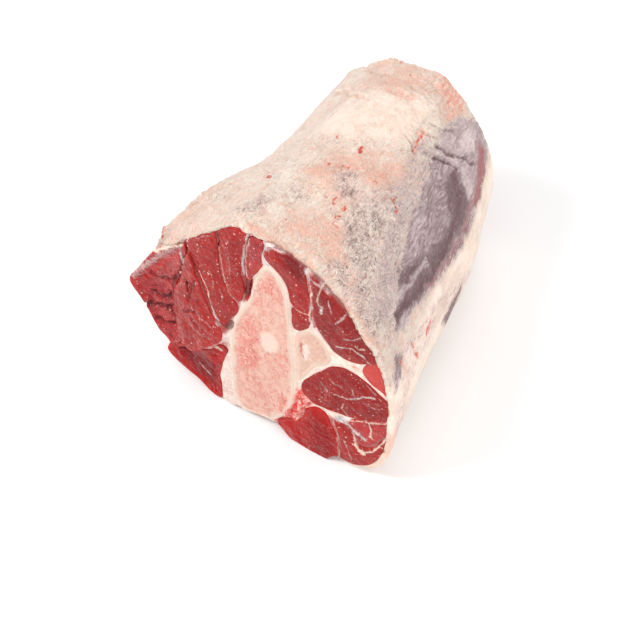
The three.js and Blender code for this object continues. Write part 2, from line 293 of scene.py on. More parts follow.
@dataclass(frozen=True)
class Shank:
    """Form of the whole piece: the wall under the fat cover and the two cuts, in millimetres."""

    length: float = 198.0
    gap: float = 0.35
    shift: Place = (2.0, 1.4, 0.0)
    near_middle: tuple[float, float] = (0.0, 61.0)
    far_middle: tuple[float, float] = (-15.0, 54.5)
    near_body: Path = (
        (80, 51), (79, 67), (75, 86), (67, 101), (49, 121), (34, 132), (17, 139), (0, 141),
        (-9, 141), (-19, 133), (-30, 123), (-51, 99), (-64, 86), (-77, 73), (-86, 60), (-78, 41),
        (-67, 29), (-62, 23), (-65, 14), (-58, 9), (-43, 5), (-29, 0), (-15, 3), (-2, 6),
        (11, 7), (21, 0), (32, -5), (43, -3), (51, 6), (62, 7), (72, 14), (79, 30),
    )
    far_body: Path = (
        (37, 44), (35, 65), (26, 85), (13, 100), (-3, 109), (-25, 109), (-42, 102), (-58, 87),
        (-68, 67), (-69, 44), (-62, 23), (-46, 6), (-24, -5), (0, -6), (20, 0), (32, 18),
    )
    # angle and half width in degrees, place and half length as shares of the length, height
    swells: tuple[tuple[float, float, float, float, float], ...] = (
        (140, 50, 0.18, 0.3, 9),
        (135, 45, 0.62, 0.3, -6),
        (-15, 45, 0.65, 0.4, 5),
        (75, 35, 0.45, 0.35, 2.5),
        (-177, 7, 0.0, 0.15, 2.4),
        (157, 20, 0.0, 0.1, 3.0),
        (-154, 12, 0.0, 0.22, 4.8),
        (-138, 14, 0.0, 0.22, 4.0),
    )
    cover_from: float = -45.0
    cover_to: float = 195.0
    cover_thick: float = 3.0
    cover_edge: float = 1.1
    cover_taper: float = 14.0
    cover_pulled: float = 24.0
    cover_pulled_from: float = 138.0
    torn_depth: float = 5.5
    torn_from: float = -28.0
    torn_to: float = -65.0
    sagged: float = 2.5
    far_crown: float = 3.5
    far_radius: float = 53.0
    usual_radius: float = 70.0
    radii: list[Array] = field(default_factory=list)

    def __post_init__(self) -> None:
        """Turns both outlines into radii round their middles."""
        for outline, middle in ((self.near_body, self.near_middle), (self.far_body, self.far_middle)):
            off = closed_curve(outline, 1.0) - np.array(middle)
            angle = np.arctan2(off[:, 1], off[:, 0])
            order = np.argsort(angle)
            angle, radius = angle[order], np.hypot(off[:, 0], off[:, 1])[order]
            wrapped = np.concatenate([angle - 2 * np.pi, angle, angle + 2 * np.pi])
            self.radii.append(np.stack([wrapped, np.tile(radius, 3)]))

    def middle(self, along: Array) -> tuple[Array, Array]:
        """Middle of the section at each place along the shank."""
        return tuple(n * (1 - along) + f * along for n, f in zip(self.near_middle, self.far_middle))

    @staticmethod
    def turned(angle: Array) -> Array:
        """Angle between minus and plus half a turn."""
        return (angle + np.pi) % (2 * np.pi) - np.pi

    def thickness(self, angle: Array) -> Array:
        """Thickness of the fat cover at an angle."""
        start = math.radians(-110)
        degrees = np.degrees((angle - start) % (2 * np.pi) + start)
        edge = np.minimum(degrees - self.cover_from, self.cover_to - degrees)
        thick = self.cover_edge + (self.cover_thick - self.cover_edge) * ease(edge, 0, self.cover_taper)
        return np.where(edge < 0, 0.0, thick)

    def wall(self, angle: Array, along: Array) -> Array:
        """Radius of the meat.

        Args:
            angle: Direction from the middle.
            along: Place along the shank, 0 at the wide cut and 1 at the narrow one.

        Returns:
            Radius in millimetres, pressed flat at the floor.
        """
        angle = self.turned(angle)
        near, far = (np.interp(angle, *table) for table in self.radii)
        radius = near * (1 - along) + far * along
        for where, spread, place, reach, height in self.swells:
            off = np.abs(self.turned(angle - math.radians(where)))
            round_it = 1 - ease(off, 0, math.radians(spread))
            radius = radius + height * round_it * (1 - ease(np.abs(along - place), 0, reach))
        fall = np.maximum(-np.sin(angle), 1e-6)
        lowest = (self.middle(along)[1] + self.gap - self.thickness(angle)) / fall
        return np.where(np.sin(angle) < 0, np.minimum(radius, lowest), radius)

    def place(self, angle: Array, share: Array, along: Array, outside: Array | float = 0.0) -> Array:
        """Place in space of a point of the shank.

        Args:
            angle: Direction from the middle.
            share: Share of the wall's radius.
            along: Place along the shank, 0 to 1.
            outside: Distance outside that radius.

        Returns:
            Array of points in millimetres.
        """
        angle, share, along = np.broadcast_arrays(angle, share, along)
        radius = self.wall(angle, along) * share + outside
        x, z = self.middle(along)
        y = along * self.length - self.length / 2
        points = np.stack([x + radius * np.cos(angle), y, z + radius * np.sin(angle)], axis=-1)
        points[..., 2] = np.maximum(points[..., 2], 0.0)
        return points + np.array(self.shift)

    def shares(self, points: Array) -> tuple[Array, Array]:
        """Angle and share of the wall's radius of points of the wide cut."""
        off = points - np.array(self.near_middle)
        angle = np.arctan2(off[:, 1], off[:, 0])
        return angle, np.hypot(off[:, 0], off[:, 1]) / self.wall(angle, np.zeros(len(angle)))

    def cut_depth(self, points: Array) -> Array:
        """How far the wide cut lies behind its saw plane."""
        x, z = points[:, 0], points[:, 1]
        torn = self.torn_depth * (1 - ease(x, self.torn_to, self.torn_from))
        return torn - self.sagged * ease(x, 4, 40) * (1 - ease(z, 22, 62))

    def far_depth(self, angle: Array, share: Array) -> Array:
        """How far the narrow cut's crowned face lies before its highest point."""
        radius = self.wall(angle, np.ones(len(angle))) * share
        return self.far_crown * (radius / self.far_radius) ** 2

    def within(self, outline: Array, spare: float, step: float) -> Array:
        """Keeps an outline of the wide cut inside the wall.

        Args:
            outline: The outline's points, counterclockwise.
            spare: Distance kept from the wall.
            step: Distance between points that follow the wall.

        Returns:
            The outline with its outer stretches laid along the wall.
        """
        angle, share = self.shares(outline)
        limit = 1 - spare / self.wall(angle, np.zeros(len(angle)))
        out = share > limit
        if not out.any():
            return outline
        first = int(np.flatnonzero(~out & np.roll(out, 1))[0])
        outline, angle, out = (np.roll(a, -first, axis=0) for a in (outline, angle, out))
        kept: list[Array] = []
        i = 0
        while i < len(outline):
            if not out[i]:
                kept.append(outline[i])
                i += 1
                continue
            j = i
            while j < len(outline) and out[j]:
                j += 1
            start, turn = angle[i - 1], float(self.turned(angle[j % len(outline)] - angle[i - 1]))
            steps = max(1, int(abs(turn) * self.usual_radius / step))
            arc = start + turn * np.arange(1, steps) / steps
            radius = self.wall(arc, np.zeros(len(arc))) - spare
            middle = np.array(self.near_middle)
            kept.extend(middle + np.stack([radius * np.cos(arc), radius * np.sin(arc)], axis=1))
            i = j
        return np.array(kept)


SHANK = Shank()


# Meshes


def linked(name: str, data: bpy.types.ID) -> bpy.types.Object:
    """Makes an object and puts it in the scene."""
    made = bpy.data.objects.new(name, data)
    bpy.context.collection.objects.link(made)
    return made


@dataclass
class Piece:
    """Points, faces and tones of one piece before it becomes an object."""

    name: str
    points: Array
    faces: list[tuple[int, ...]]
    tones: dict[Tone, Array]

    def object(self, material: bpy.types.Material) -> bpy.types.Object:
        """Makes the Blender object.

        Args:
            material: Its finish.

        Returns:
            The object, at the origin, its place in its mesh.
        """
        mesh = bpy.data.meshes.new(self.name)
        mesh.from_pydata((self.points * MM).tolist(), [], self.faces)
        for tone, values in self.tones.items():
            layer = mesh.attributes.new(tone.value, "FLOAT", "POINT")
            layer.data.foreach_set("value", np.clip(values, 0, 1).astype(np.float32))
        mesh.polygons.foreach_set("use_smooth", [True] * len(mesh.polygons))
        mesh.materials.append(material)
        mesh.update()
        LOG.info("%s: %d faces", self.name, len(mesh.polygons))
        return linked(self.name, mesh)


def filled(
    outline: Array, spacing: float, rims: tuple[float, ...], hidden: Callable[[Array], Array] | None = None
) -> tuple[Array, list]:
    """Fills an outline with a fine net of triangles.

    Args:
        outline: Counterclockwise outline, which comes first in the result.
        spacing: Distance between inner points.
        rims: Distances of the rows of points that follow the outline.
        hidden: Says which points lie out of sight; there the net is coarse.

    Returns:
        Points and triangles.
    """
    low, high = outline.min(axis=0), outline.max(axis=0)
    rows = np.arange(low[1], high[1], spacing * 0.87)
    grid = []
    for k, z in enumerate(rows):
        x = np.arange(low[0] + (k % 2) * spacing / 2, high[0], spacing)
        grid.append(np.stack([x, np.full(len(x), z)], axis=1))
    inner = np.vstack(grid)
    inner = inner[is_inside(outline, inner)]
    if hidden is not None:
        every = np.arange(len(inner)) % HIDDEN_EVERY == 0
        inner = inner[every | ~hidden(inner)]
    inner = inner[distance_to(outline, inner, closed=True) > (rims[-1] if rims else 0) + spacing * 0.55]
    parts = [outline]
    for rim in rims:
        row = moved_in(outline, rim)
        row = row[is_inside(outline, row)]
        parts.append(row[distance_to(outline, row, closed=True) > rim * 0.93])
    parts.append(inner)
    flat = np.vstack(parts)
    count = len(outline)
    edges = [(i, (i + 1) % count) for i in range(count)]
    made = delaunay_2d_cdt([Vector(p) for p in flat.tolist()], edges, [], 1, 1e-5)
    points = np.array([tuple(p) for p in made[0]])
    triangles = [tuple(f) for f in made[2]]
    triangles = [t if signed_turn(points, t) > 0 else t[::-1] for t in triangles]
    if len(points) != len(flat):
        order = {old: new for new, olds in enumerate(made[3]) for old in olds}
        if any(order.get(i) != i for i in range(count)):
            raise ValueError("the outline crosses itself")
    return points, triangles


def signed_turn(points: Array, triangle: tuple[int, ...]) -> float:
    """Twice the area of a flat triangle, positive when it turns counterclockwise."""
    a, b, c = (points[i] for i in triangle)
    return float((b[0] - a[0]) * (c[1] - a[1]) - (c[0] - a[0]) * (b[1] - a[1]))


@dataclass
class Face:
    """Net of triangles on one cut, its depth behind the saw plane and its tones."""

    flat: Array
    triangles: list
    depth: Array
    tones: dict[Tone, Array]
    edge_size: int


def outwards(angle: Array) -> Array:
    """Direction away from the shank's middle."""
    return np.stack([np.cos(angle), np.zeros(len(angle)), np.sin(angle)], axis=1)


def closed_body(name: str, near: Face, far: Face, rings: int) -> Piece:
    """Joins the faces of a strand with its side.

    Args:
        name: Name of the piece.
        near: Face at the wide cut, its outline first.
        far: Face at the narrow cut with the same outline.
        rings: Number of steps along the side.

    Returns:
        The closed piece.
    """
    count, size = near.edge_size, len(near.flat)
    total = size + len(far.flat)
    angle, share = SHANK.shares(near.flat)
    far_angle, far_share = SHANK.shares(far.flat)
    start, end = near.depth / SHANK.length, 1 - far.depth / SHANK.length
    points = [SHANK.place(angle, share, start), SHANK.place(far_angle, far_share, end)]
    angle, share = angle[:count], share[:count]
    for k in range(1, rings):
        ring = SHANK.place(angle, share, start[:count] + (end[:count] - start[:count]) * k / rings)
        points.append(ring + 0.3 * Grain(5.0, 31).at(ring, (1, 4, 1))[:, None] * outwards(angle))
    faces = [tuple(t) for t in near.triangles]
    faces += [tuple(size + i for i in t[::-1]) for t in far.triangles]
    firsts = [0] + [total + k * count for k in range(rings - 1)] + [size]
    for low, high in zip(firsts, firsts[1:]):
        for i in range(count):
            j = (i + 1) % count
            faces.append((low + i, high + i, high + j, low + j))
    side = (rings - 1) * count
    tones = {}
    for tone, values in near.tones.items():
        beyond = far.tones.get(tone, np.zeros(len(far.flat)))
        tones[tone] = np.concatenate([values, beyond, np.zeros(side)])
    tones[Tone.SKIN] = np.concatenate([np.zeros(total), np.ones(side)])
    return Piece(name, np.vstack(points), faces, tones)


@dataclass(frozen=True)
class Strand:
    """A muscle or a bone that runs from cut to cut."""

    name: str
    cut: Cut
    behind: float
    outline: Path
    marks: tuple[Mark, ...] = ()
    patches: tuple[Patch, ...] = ()
    calm: Path = ()
    seam: float = 0.2
    rim_radius: float = 0.7
    dome: float = 0.9
    rough: float = 1.0
    torn: float = 0.0
    bowl: float = 0.0
    # how much lighter the meat is along the cut's edge, partly a painted highlight on the raised rim
    bright_rim: float = 0.15
    edge_spacing: float = 0.8
    spacing: float = 0.55
    far_spacing: float = 1.1
    rings: int = 36
    is_bone: bool = False

    def edge(self) -> Array:
        """Outline of the strand at the wide cut."""
        outline = closed_curve(self.outline, 1.0)
        wobble = (0.25 if self.is_bone else 0.55) * pushes(6.0, 3, upright(outline))
        outline = moved_in(evened(outline + wobble, 1.0), self.seam)
        return evened(SHANK.within(outline, SHANK.gap, 1.0), self.edge_spacing)

    def relief(self, flat: Array, reach: Array, seed: int) -> Array:
        """Depth of the cut face behind the general cut.

        Args:
            flat: Places on the cut.
            reach: Distance of each from the outline.
            seed: Which random relief it has.

        Returns:
            Depths in millimetres.
        """
        lifted = upright(flat, 7.0 * seed)
        radius = self.rim_radius
        shortfall = np.clip(radius - reach, 0, radius)
        depth = radius - np.sqrt(np.maximum(radius**2 - shortfall**2, 0))
        depth -= self.dome * ease(reach, 0, 9)
        inner = ease(reach, 0, 2.5)
        depth += self.rough * inner * (
            0.55 * Grain(9.0, seed).at(lifted)
            + 0.28 * Grain(3.6, seed + 1).at(lifted)
            + 0.12 * Grain(1.7, seed + 2).at(lifted)
        )
        return depth

    @staticmethod
    def creases(flat: Array) -> Array:
        """Folds of torn meat, 0 on the swells and above 1 in the deepest creases."""
        lifted = upright(flat)
        lifted += 3.0 * upright(pushes(7.0, 81, lifted))
        wide = 1 - np.abs(Grain(16.0, 83).at(lifted, (1.2, 1, 0.8))) * 2.6
        close = 1 - np.abs(Grain(7.0, 84).at(lifted, (1.3, 1, 0.7))) * 2.6
        return 0.8 * np.maximum(wide, 0) ** 2 + 0.35 * np.maximum(close, 0) ** 2

    @staticmethod
    def net(edge: Array, spacing: float) -> tuple[Array, list, Array]:
        """Net of a cut face, with each point's distance from the outline."""
        flat, triangles = filled(edge, spacing, (0.3, 0.8))
        reach = distance_to(edge, flat, closed=True)
        reach[: len(edge)] = 0.0
        return flat, triangles, reach

    def near_face(self, edge: Array) -> Face:
        """Detailed face at the wide cut, with its creases, veins and tones."""
        flat, triangles, reach = self.net(edge, self.spacing)
        depth = SHANK.cut_depth(flat) + self.behind + self.relief(flat, reach, 11)
        crease = self.creases(flat) * ease(reach, 0.8, 6.0)
        if self.calm:
            crease *= 1 - 0.85 * Patch(Tone.SMOOTH, self.calm).cover(flat)
        depth += self.torn * crease
        depth -= self.bowl * (1 - ease(reach, 0.5, 7.0))
        lifted = upright(flat)
        uneven = Grain(3.0, 5).at(lifted) + 0.9 * Grain(1.5, 13).at(lifted)
        width = 2.0 * (1 + 1.3 * uneven + 0.8 * Grain(9.0, 10).at(lifted))
        tones = {
            # painted shade: Tone.DARK darkens the deepest creases of the torn meat
            Tone.DARK: min(0.4 * self.torn, 0.55) * ease(crease, 0.5, 1.3),
            # Tone.RIM lightens the cut's edge, partly a painted highlight on the raised rim
            Tone.RIM: self.bright_rim * (1 - ease(reach / np.maximum(width, 0.2), 0.2, 1.2)),
        }
        shapes = (*self.marks, *(() if self.is_bone else SEAM_LINES), *self.patches)
        press_in(shapes, flat + 0.5 * pushes(3.0, 6, lifted), uneven, depth, tones)
        if self.is_bone:
            width = 2.4 + 1.8 * Grain(10.0, 8).at(lifted) + 0.8 * Grain(3.0, 12).at(lifted)
            tones[Tone.RIM] = 1 - ease(reach / np.maximum(width, 0.8), 0.4, 1.35)
            depth += 0.35 * (1 - tones[Tone.RIM]) * (1 + Grain(1.6, 9).at(lifted))
        return Face(flat, triangles, depth, tones, len(edge))

    def far_face(self, edge: Array) -> Face:
        """Plainer face at the narrow cut."""
        flat, triangles, reach = self.net(edge, self.far_spacing)
        depth = SHANK.far_depth(*SHANK.shares(flat)) + max(self.behind, -1.0)
        depth += self.relief(flat, reach, 23)
        rim = np.clip(1 - reach / 1.5, 0, 1) * (1.0 if self.is_bone else self.bright_rim)
        return Face(flat, triangles, depth, {Tone.RIM: rim}, len(edge))

    def make(self) -> Piece:
        """Builds the strand from its two faces."""
        edge = self.edge()
        return closed_body(self.name + "_cut", self.near_face(edge), self.far_face(edge), self.rings)


@dataclass(frozen=True)
class Sheath:
    """Silver skin, tendons and seam fat: all that fills the space between the strands."""

    strands: tuple[Strand, ...]
    patches: tuple[Patch, ...]
    marks: tuple[Mark, ...]
    spacing: float = 0.55
    far_spacing: float = 0.9
    set_in: float = 0.7
    set_back: float = 0.5
    overlap: float = 0.5
    buried_by: float = 1.6
    sink_rate: float = 2.5
    sunk_at_most: float = 3.5
    edge_points: int = 480
    rings: int = 40

    def make(self) -> Piece:
        """Builds the sheath as one body behind the strands' faces."""
        turn = np.linspace(0, 2 * np.pi, self.edge_points, endpoint=False)
        radius = SHANK.wall(turn, np.zeros(len(turn))) - self.set_in
        edge = np.stack([radius * np.cos(turn), radius * np.sin(turn)], axis=1)
        edge = evened(edge + np.array(SHANK.near_middle), 1.0)
        flat, triangles = filled(edge, self.spacing, (), self._hidden)
        gap, level, by_bone = self._surroundings(flat)
        lifted = upright(flat)
        open_space = ease(gap, 0.6, 3.0)
        depth = level + self.set_back * (1 - 0.75 * open_space) * (1 - 0.7 * by_bone)
        depth += self._sunk(gap)
        depth += open_space * (0.35 * Grain(4.0, 41).at(lifted) + 0.2 * Grain(1.8, 42).at(lifted))
        tones = {Tone.RIM: by_bone}
        bent = flat + 0.9 * pushes(3.5, 43, lifted)
        uneven = Grain(3.0, 45).at(lifted)
        press_in(self.patches, bent, uneven, depth, tones)
        clots = 2.2 * Grain(4.2, 46).at(lifted) + 0.9 * Grain(2.0, 47).at(lifted)
        depth -= tones[Tone.BLOOD] * ease(gap, 0.2, 1.6) * clots
        press_in((*self.marks, *SEAM_LINES), bent, uneven, depth, tones)
        far_flat, far_triangles = filled(edge, self.far_spacing, (), self._hidden)
        far_gap = self._surroundings(far_flat)[0]
        far = SHANK.far_depth(*SHANK.shares(far_flat)) + self.set_back
        far += self._sunk(far_gap)
        here = Face(flat, triangles, depth + SHANK.cut_depth(flat), tones, len(edge))
        there = Face(far_flat, far_triangles, far, {}, len(edge))
        return closed_body("sheath", here, there, self.rings)

    def _sunk(self, gap: Array) -> Array:
        """How far the sheath dives behind a strand that covers it."""
        return np.clip((-gap - self.overlap) * self.sink_rate, 0, self.sunk_at_most)

    def _hidden(self, flat: Array) -> Array:
        """Which points lie well inside a strand."""
        buried = np.zeros(len(flat), bool)
        for strand in self.strands:
            edge = strand.edge()
            near = np.all((flat > edge.min(axis=0)) & (flat < edge.max(axis=0)), axis=1)
            spots = np.flatnonzero(near)
            spots = spots[is_inside(edge, flat[spots])]
            buried[spots[distance_to(edge, flat[spots], closed=True) > self.buried_by]] = True
        return buried

    def _surroundings(self, flat: Array) -> tuple[Array, Array, Array]:
        """Distance to the nearest strand, how deep the near ones lie, and how near a bone is."""
        gap = np.full(len(flat), 1e9)
        bone_gap = np.full(len(flat), 1e9)
        weight = np.full(len(flat), 1e-9)
        level = np.zeros(len(flat))
        for strand in self.strands:
            edge = strand.edge()
            off = distance_to(edge, flat, closed=True)
            off = np.where(is_inside(edge, flat), -off, off)
            gap = np.minimum(gap, off)
            if strand.is_bone:
                bone_gap = np.minimum(bone_gap, off)
            pull = np.exp(0.9 * strand.behind) / (np.maximum(off, 0) + 0.4) ** 3
            weight += pull
            level += pull * strand.behind
        return gap, level / weight * (1 - ease(gap, 3, 9)), 1 - ease(bone_gap, 0.4, 2.0)


@dataclass(frozen=True)
class Cover:
    """The fat round the outside, with its silver skin, folds and torn spots."""

    patches: tuple[Patch, ...]
    marks: tuple[Mark, ...]
    swells: tuple[tuple[float, float, float, float], ...]
    columns: int = 335
    rows: int = 215
    inner_every: int = 5
    rim_rise: tuple[float, ...] = (0.0, 0.4, 0.72, 0.92)
    rim_reach: tuple[float, ...] = (0.0, 0.05, 0.2, 0.55)
    rim_depth: float = 1.1
    tucked_in: float = 0.5
    thinnest: float = 0.5
    inner_at: float = -0.6
    # where the edge is pulled back, ragged or thin, in degrees
    flap_from: tuple[float, float] = (145.0, 157.0)
    ragged_from: tuple[float, float] = (145.0, 170.0)
    crown_from: tuple[float, float] = (36.0, 54.0)
    crown_to: tuple[float, float] = (74.0, 88.0)
    thin_from: tuple[float, float] = (15.0, 60.0)
    thin_to: tuple[float, float] = (150.0, 170.0)
    flap_back: float = 6.0
    crown_back: float = 3.0
    ragged_back: float = 3.0
    thin_rim: float = 0.62
    thin_reach: float = 7.0
    reference_radius: float = 70.0

    def flat_place(self, degrees: Array, along: Array) -> Array:
        """Lays the outside flat, in millimetres, for marks and patches."""
        return np.stack([degrees * math.radians(1) * self.reference_radius, along], axis=1)

    def laid(self, shapes: tuple[Mark | Patch, ...]) -> tuple[Mark | Patch, ...]:
        """Marks or patches given in degrees and millimetres along, laid flat."""
        scale = math.radians(1) * self.reference_radius
        return tuple(replace(shape, path=tuple((a * scale, s) for a, s in shape.path)) for shape in shapes)

    def make(self) -> Piece:
        """Builds the cover as a closed curved sheet."""
        degrees = np.linspace(SHANK.cover_from, SHANK.cover_to, self.columns + 1)
        angle = np.radians(degrees)
        rim_points = SHANK.place(angle, np.ones(len(angle)), np.zeros(len(angle)))
        wave = 0.3 * np.sin(angle * 9) + 0.2 * np.sin(angle * 17 + 1)
        wave += 0.8 * Grain(5.0, 51).at(rim_points) + 0.7 * Grain(2.2, 52).at(rim_points)
        pulled = SHANK.cover_pulled * ease(degrees, SHANK.cover_pulled_from, SHANK.cover_to)
        pulled = pulled + self.flap_back * ease(degrees, *self.flap_from)
        crown = ease(degrees, *self.crown_from) * (1 - ease(degrees, *self.crown_to))
        ragged = ease(degrees, *self.ragged_from) * Grain(9.0, 53).at(rim_points)
        pulled = pulled + self.crown_back * crown + self.ragged_back * ragged
        near_plane = rim_points[:, [0, 2]] - np.array([SHANK.shift[0], 0.0])
        start = SHANK.cut_depth(near_plane) + 0.1 + wave + pulled
        end = SHANK.length - SHANK.far_crown - 1 - wave
        thick = SHANK.thickness(angle)
        fractions = np.linspace(0, 1, self.rows + 1)
        along_rows = [start + reach for reach in self.rim_reach]
        along_rows += [start + self.rim_depth + f * (end - start - 2 * self.rim_depth) for f in fractions]
        along_rows += [end - reach for reach in self.rim_reach[::-1]]
        along = np.stack(along_rows)
        profile = np.array([*self.rim_rise, *np.ones(len(fractions)), *self.rim_rise[::-1]])
        side = np.sqrt(np.clip(np.minimum(degrees - SHANK.cover_from, SHANK.cover_to - degrees) / 2, 0, 1))
        rise = profile[:, None] * side[None, :]
        angles = np.broadcast_to(angle, along.shape)
        base = SHANK.place(angles, 1.0, along / SHANK.length)
        height, tones = self._surface(base.reshape(-1, 3), degrees, along)
        height = height.reshape(along.shape)
        thinner = self.thin_rim * ease(degrees, *self.thin_from) * (1 - ease(degrees, *self.thin_to))
        thinner = 1 - thinner[None, :] * (1 - ease(along - start[None, :], 0, self.thin_reach))
        outside = rise * np.maximum(thick[None, :] * thinner + height, self.thinnest)
        outside -= self.tucked_in * (1 - rise)
        outer = SHANK.place(angles, 1.0, along / SHANK.length, outside)
        kept = np.arange(self.inner_every, along.shape[0] - 1, self.inner_every)
        inner = SHANK.place(angles[kept], 1.0, along[kept] / SHANK.length, self.inner_at)
        points = np.vstack([outer.reshape(-1, 3), inner.reshape(-1, 3)])
        faces = self._faces(along.shape[0], kept)
        spare = inner.shape[0] * inner.shape[1]
        for tone in tones:
            tones[tone] = np.concatenate([tones[tone], np.zeros(spare)])
        return Piece("fat_cover_surface", points, faces, tones)

    def _surface(self, base: Array, degrees: Array, along: Array) -> tuple[Array, dict[Tone, Array]]:
        """Relief and tones of the outside.

        Args:
            base: Places on the meat below.
            degrees: Angle of each column.
            along: Place of each row and column along the shank.

        Returns:
            Height of the relief and the tones, one value for each place.
        """
        spots = self.flat_place(np.broadcast_to(degrees, along.shape).ravel(), along.ravel())
        push, fine = pushes(7.0, 61, base), pushes(2.4, 63, base)
        uneven = 1.2 * Grain(5.0, 78).at(base)
        sunk = np.zeros(len(spots))
        tones: dict[Tone, Array] = {}
        press_in(self.laid(self.patches), spots + 2.2 * push + 0.9 * fine, uneven, sunk, tones)
        height = -sunk
        for where, place, reach, rise in self.swells:
            off = np.linalg.norm(spots - self.flat_place(np.array([where]), np.array([place])), axis=1)
            height += rise * (1 - ease(off, 0, reach))
        calm = np.clip(tones[Tone.BAND] + tones[Tone.SMOOTH], 0, 1)
        lumps = 0.75 * Grain(15.0, 71).at(base) + 0.45 * Grain(6.5, 72).at(base, (1, 1.6, 1))
        fibres = 0.30 * Grain(2.6, 73).at(base, (1, 3.0, 1)) + 0.16 * Grain(1.5, 74).at(base)
        height += lumps * (1 - 0.45 * calm) + fibres * (1 - 0.75 * calm)
        height += tones[Tone.BAND] * 0.30 * Grain(5.0, 75).at(base, (1, 7, 1))
        frayed = 1.0 * Grain(5.5, 76).at(base) + 0.6 * Grain(2.5, 77).at(base)
        creased = 1 - np.abs(Grain(8.0, 79).at(base)) * 4
        height += tones[Tone.FRAYED] * (frayed - 0.9 * np.maximum(creased, 0) ** 2)
        sunk = -height
        press_in(self.laid(self.marks), spots + 1.4 * push + 1.3 * fine, uneven, sunk, tones)
        return -sunk, tones

    def _faces(self, rows: int, kept: Array) -> list[tuple[int, ...]]:
        """Faces of the outer sheet, the inner one and the edges between them."""
        wide = self.columns + 1
        grid = np.arange(rows * wide).reshape(rows, wide).tolist()
        inner = (rows * wide + np.arange(len(kept) * wide)).reshape(-1, wide).tolist()
        back, marks = [grid[0], *inner, grid[-1]], [0, *kept.tolist(), rows - 1]
        faces = []
        for low, high in zip(grid, grid[1:]):
            for c in range(self.columns):
                faces.append((low[c], low[c + 1], high[c + 1], high[c]))
        for k, (low, high) in enumerate(zip(back, back[1:])):
            for c in range(self.columns):
                faces.append((low[c], high[c], high[c + 1], low[c + 1]))
            for c in (0, self.columns):
                strip = [row[c] for row in grid[marks[k] : marks[k + 1] + 1]]
                strip += [back[j][c] for j in (k + 1, k) if 0 < j < len(back) - 1]
                faces.append(tuple(strip if c == 0 else strip[::-1]))
        return faces


# Finishes


@dataclass
class Value:
    """A number or colour in a node tree, reckoned with like a plain number."""

    graph: "Graph"
    socket: bpy.types.NodeSocket

    def __add__(self, other: object) -> "Value":
        """Sum."""
        return self.graph.math("ADD", self, other)

    def __sub__(self, other: object) -> "Value":
        """Difference."""
        return self.graph.math("SUBTRACT", self, other)

    def __rsub__(self, other: float) -> "Value":
        """What a plain number has left."""
        return self.graph.math("SUBTRACT", other, self)

    def __mul__(self, other: object) -> "Value":
        """Product."""
        return self.graph.math("MULTIPLY", self, other)

    def __truediv__(self, other: object) -> "Value":
        """Quotient."""
        return self.graph.math("DIVIDE", self, other)

    def __abs__(self) -> "Value":
        """Size without its sign."""
        return self.graph.math("ABSOLUTE", self, 0.0)

    def between(self, low: float, high: float) -> "Value":
        """Smooth step from low to high, either way round."""
        start, end = (0.0, 1.0) if low < high else (1.0, 0.0)
        inputs = {"Value": self, "From Min": min(low, high), "From Max": max(low, high)}
        inputs |= {"To Min": start, "To Max": end}
        return self.graph.made("ShaderNodeMapRange", "Result", inputs, interpolation_type="SMOOTHSTEP")


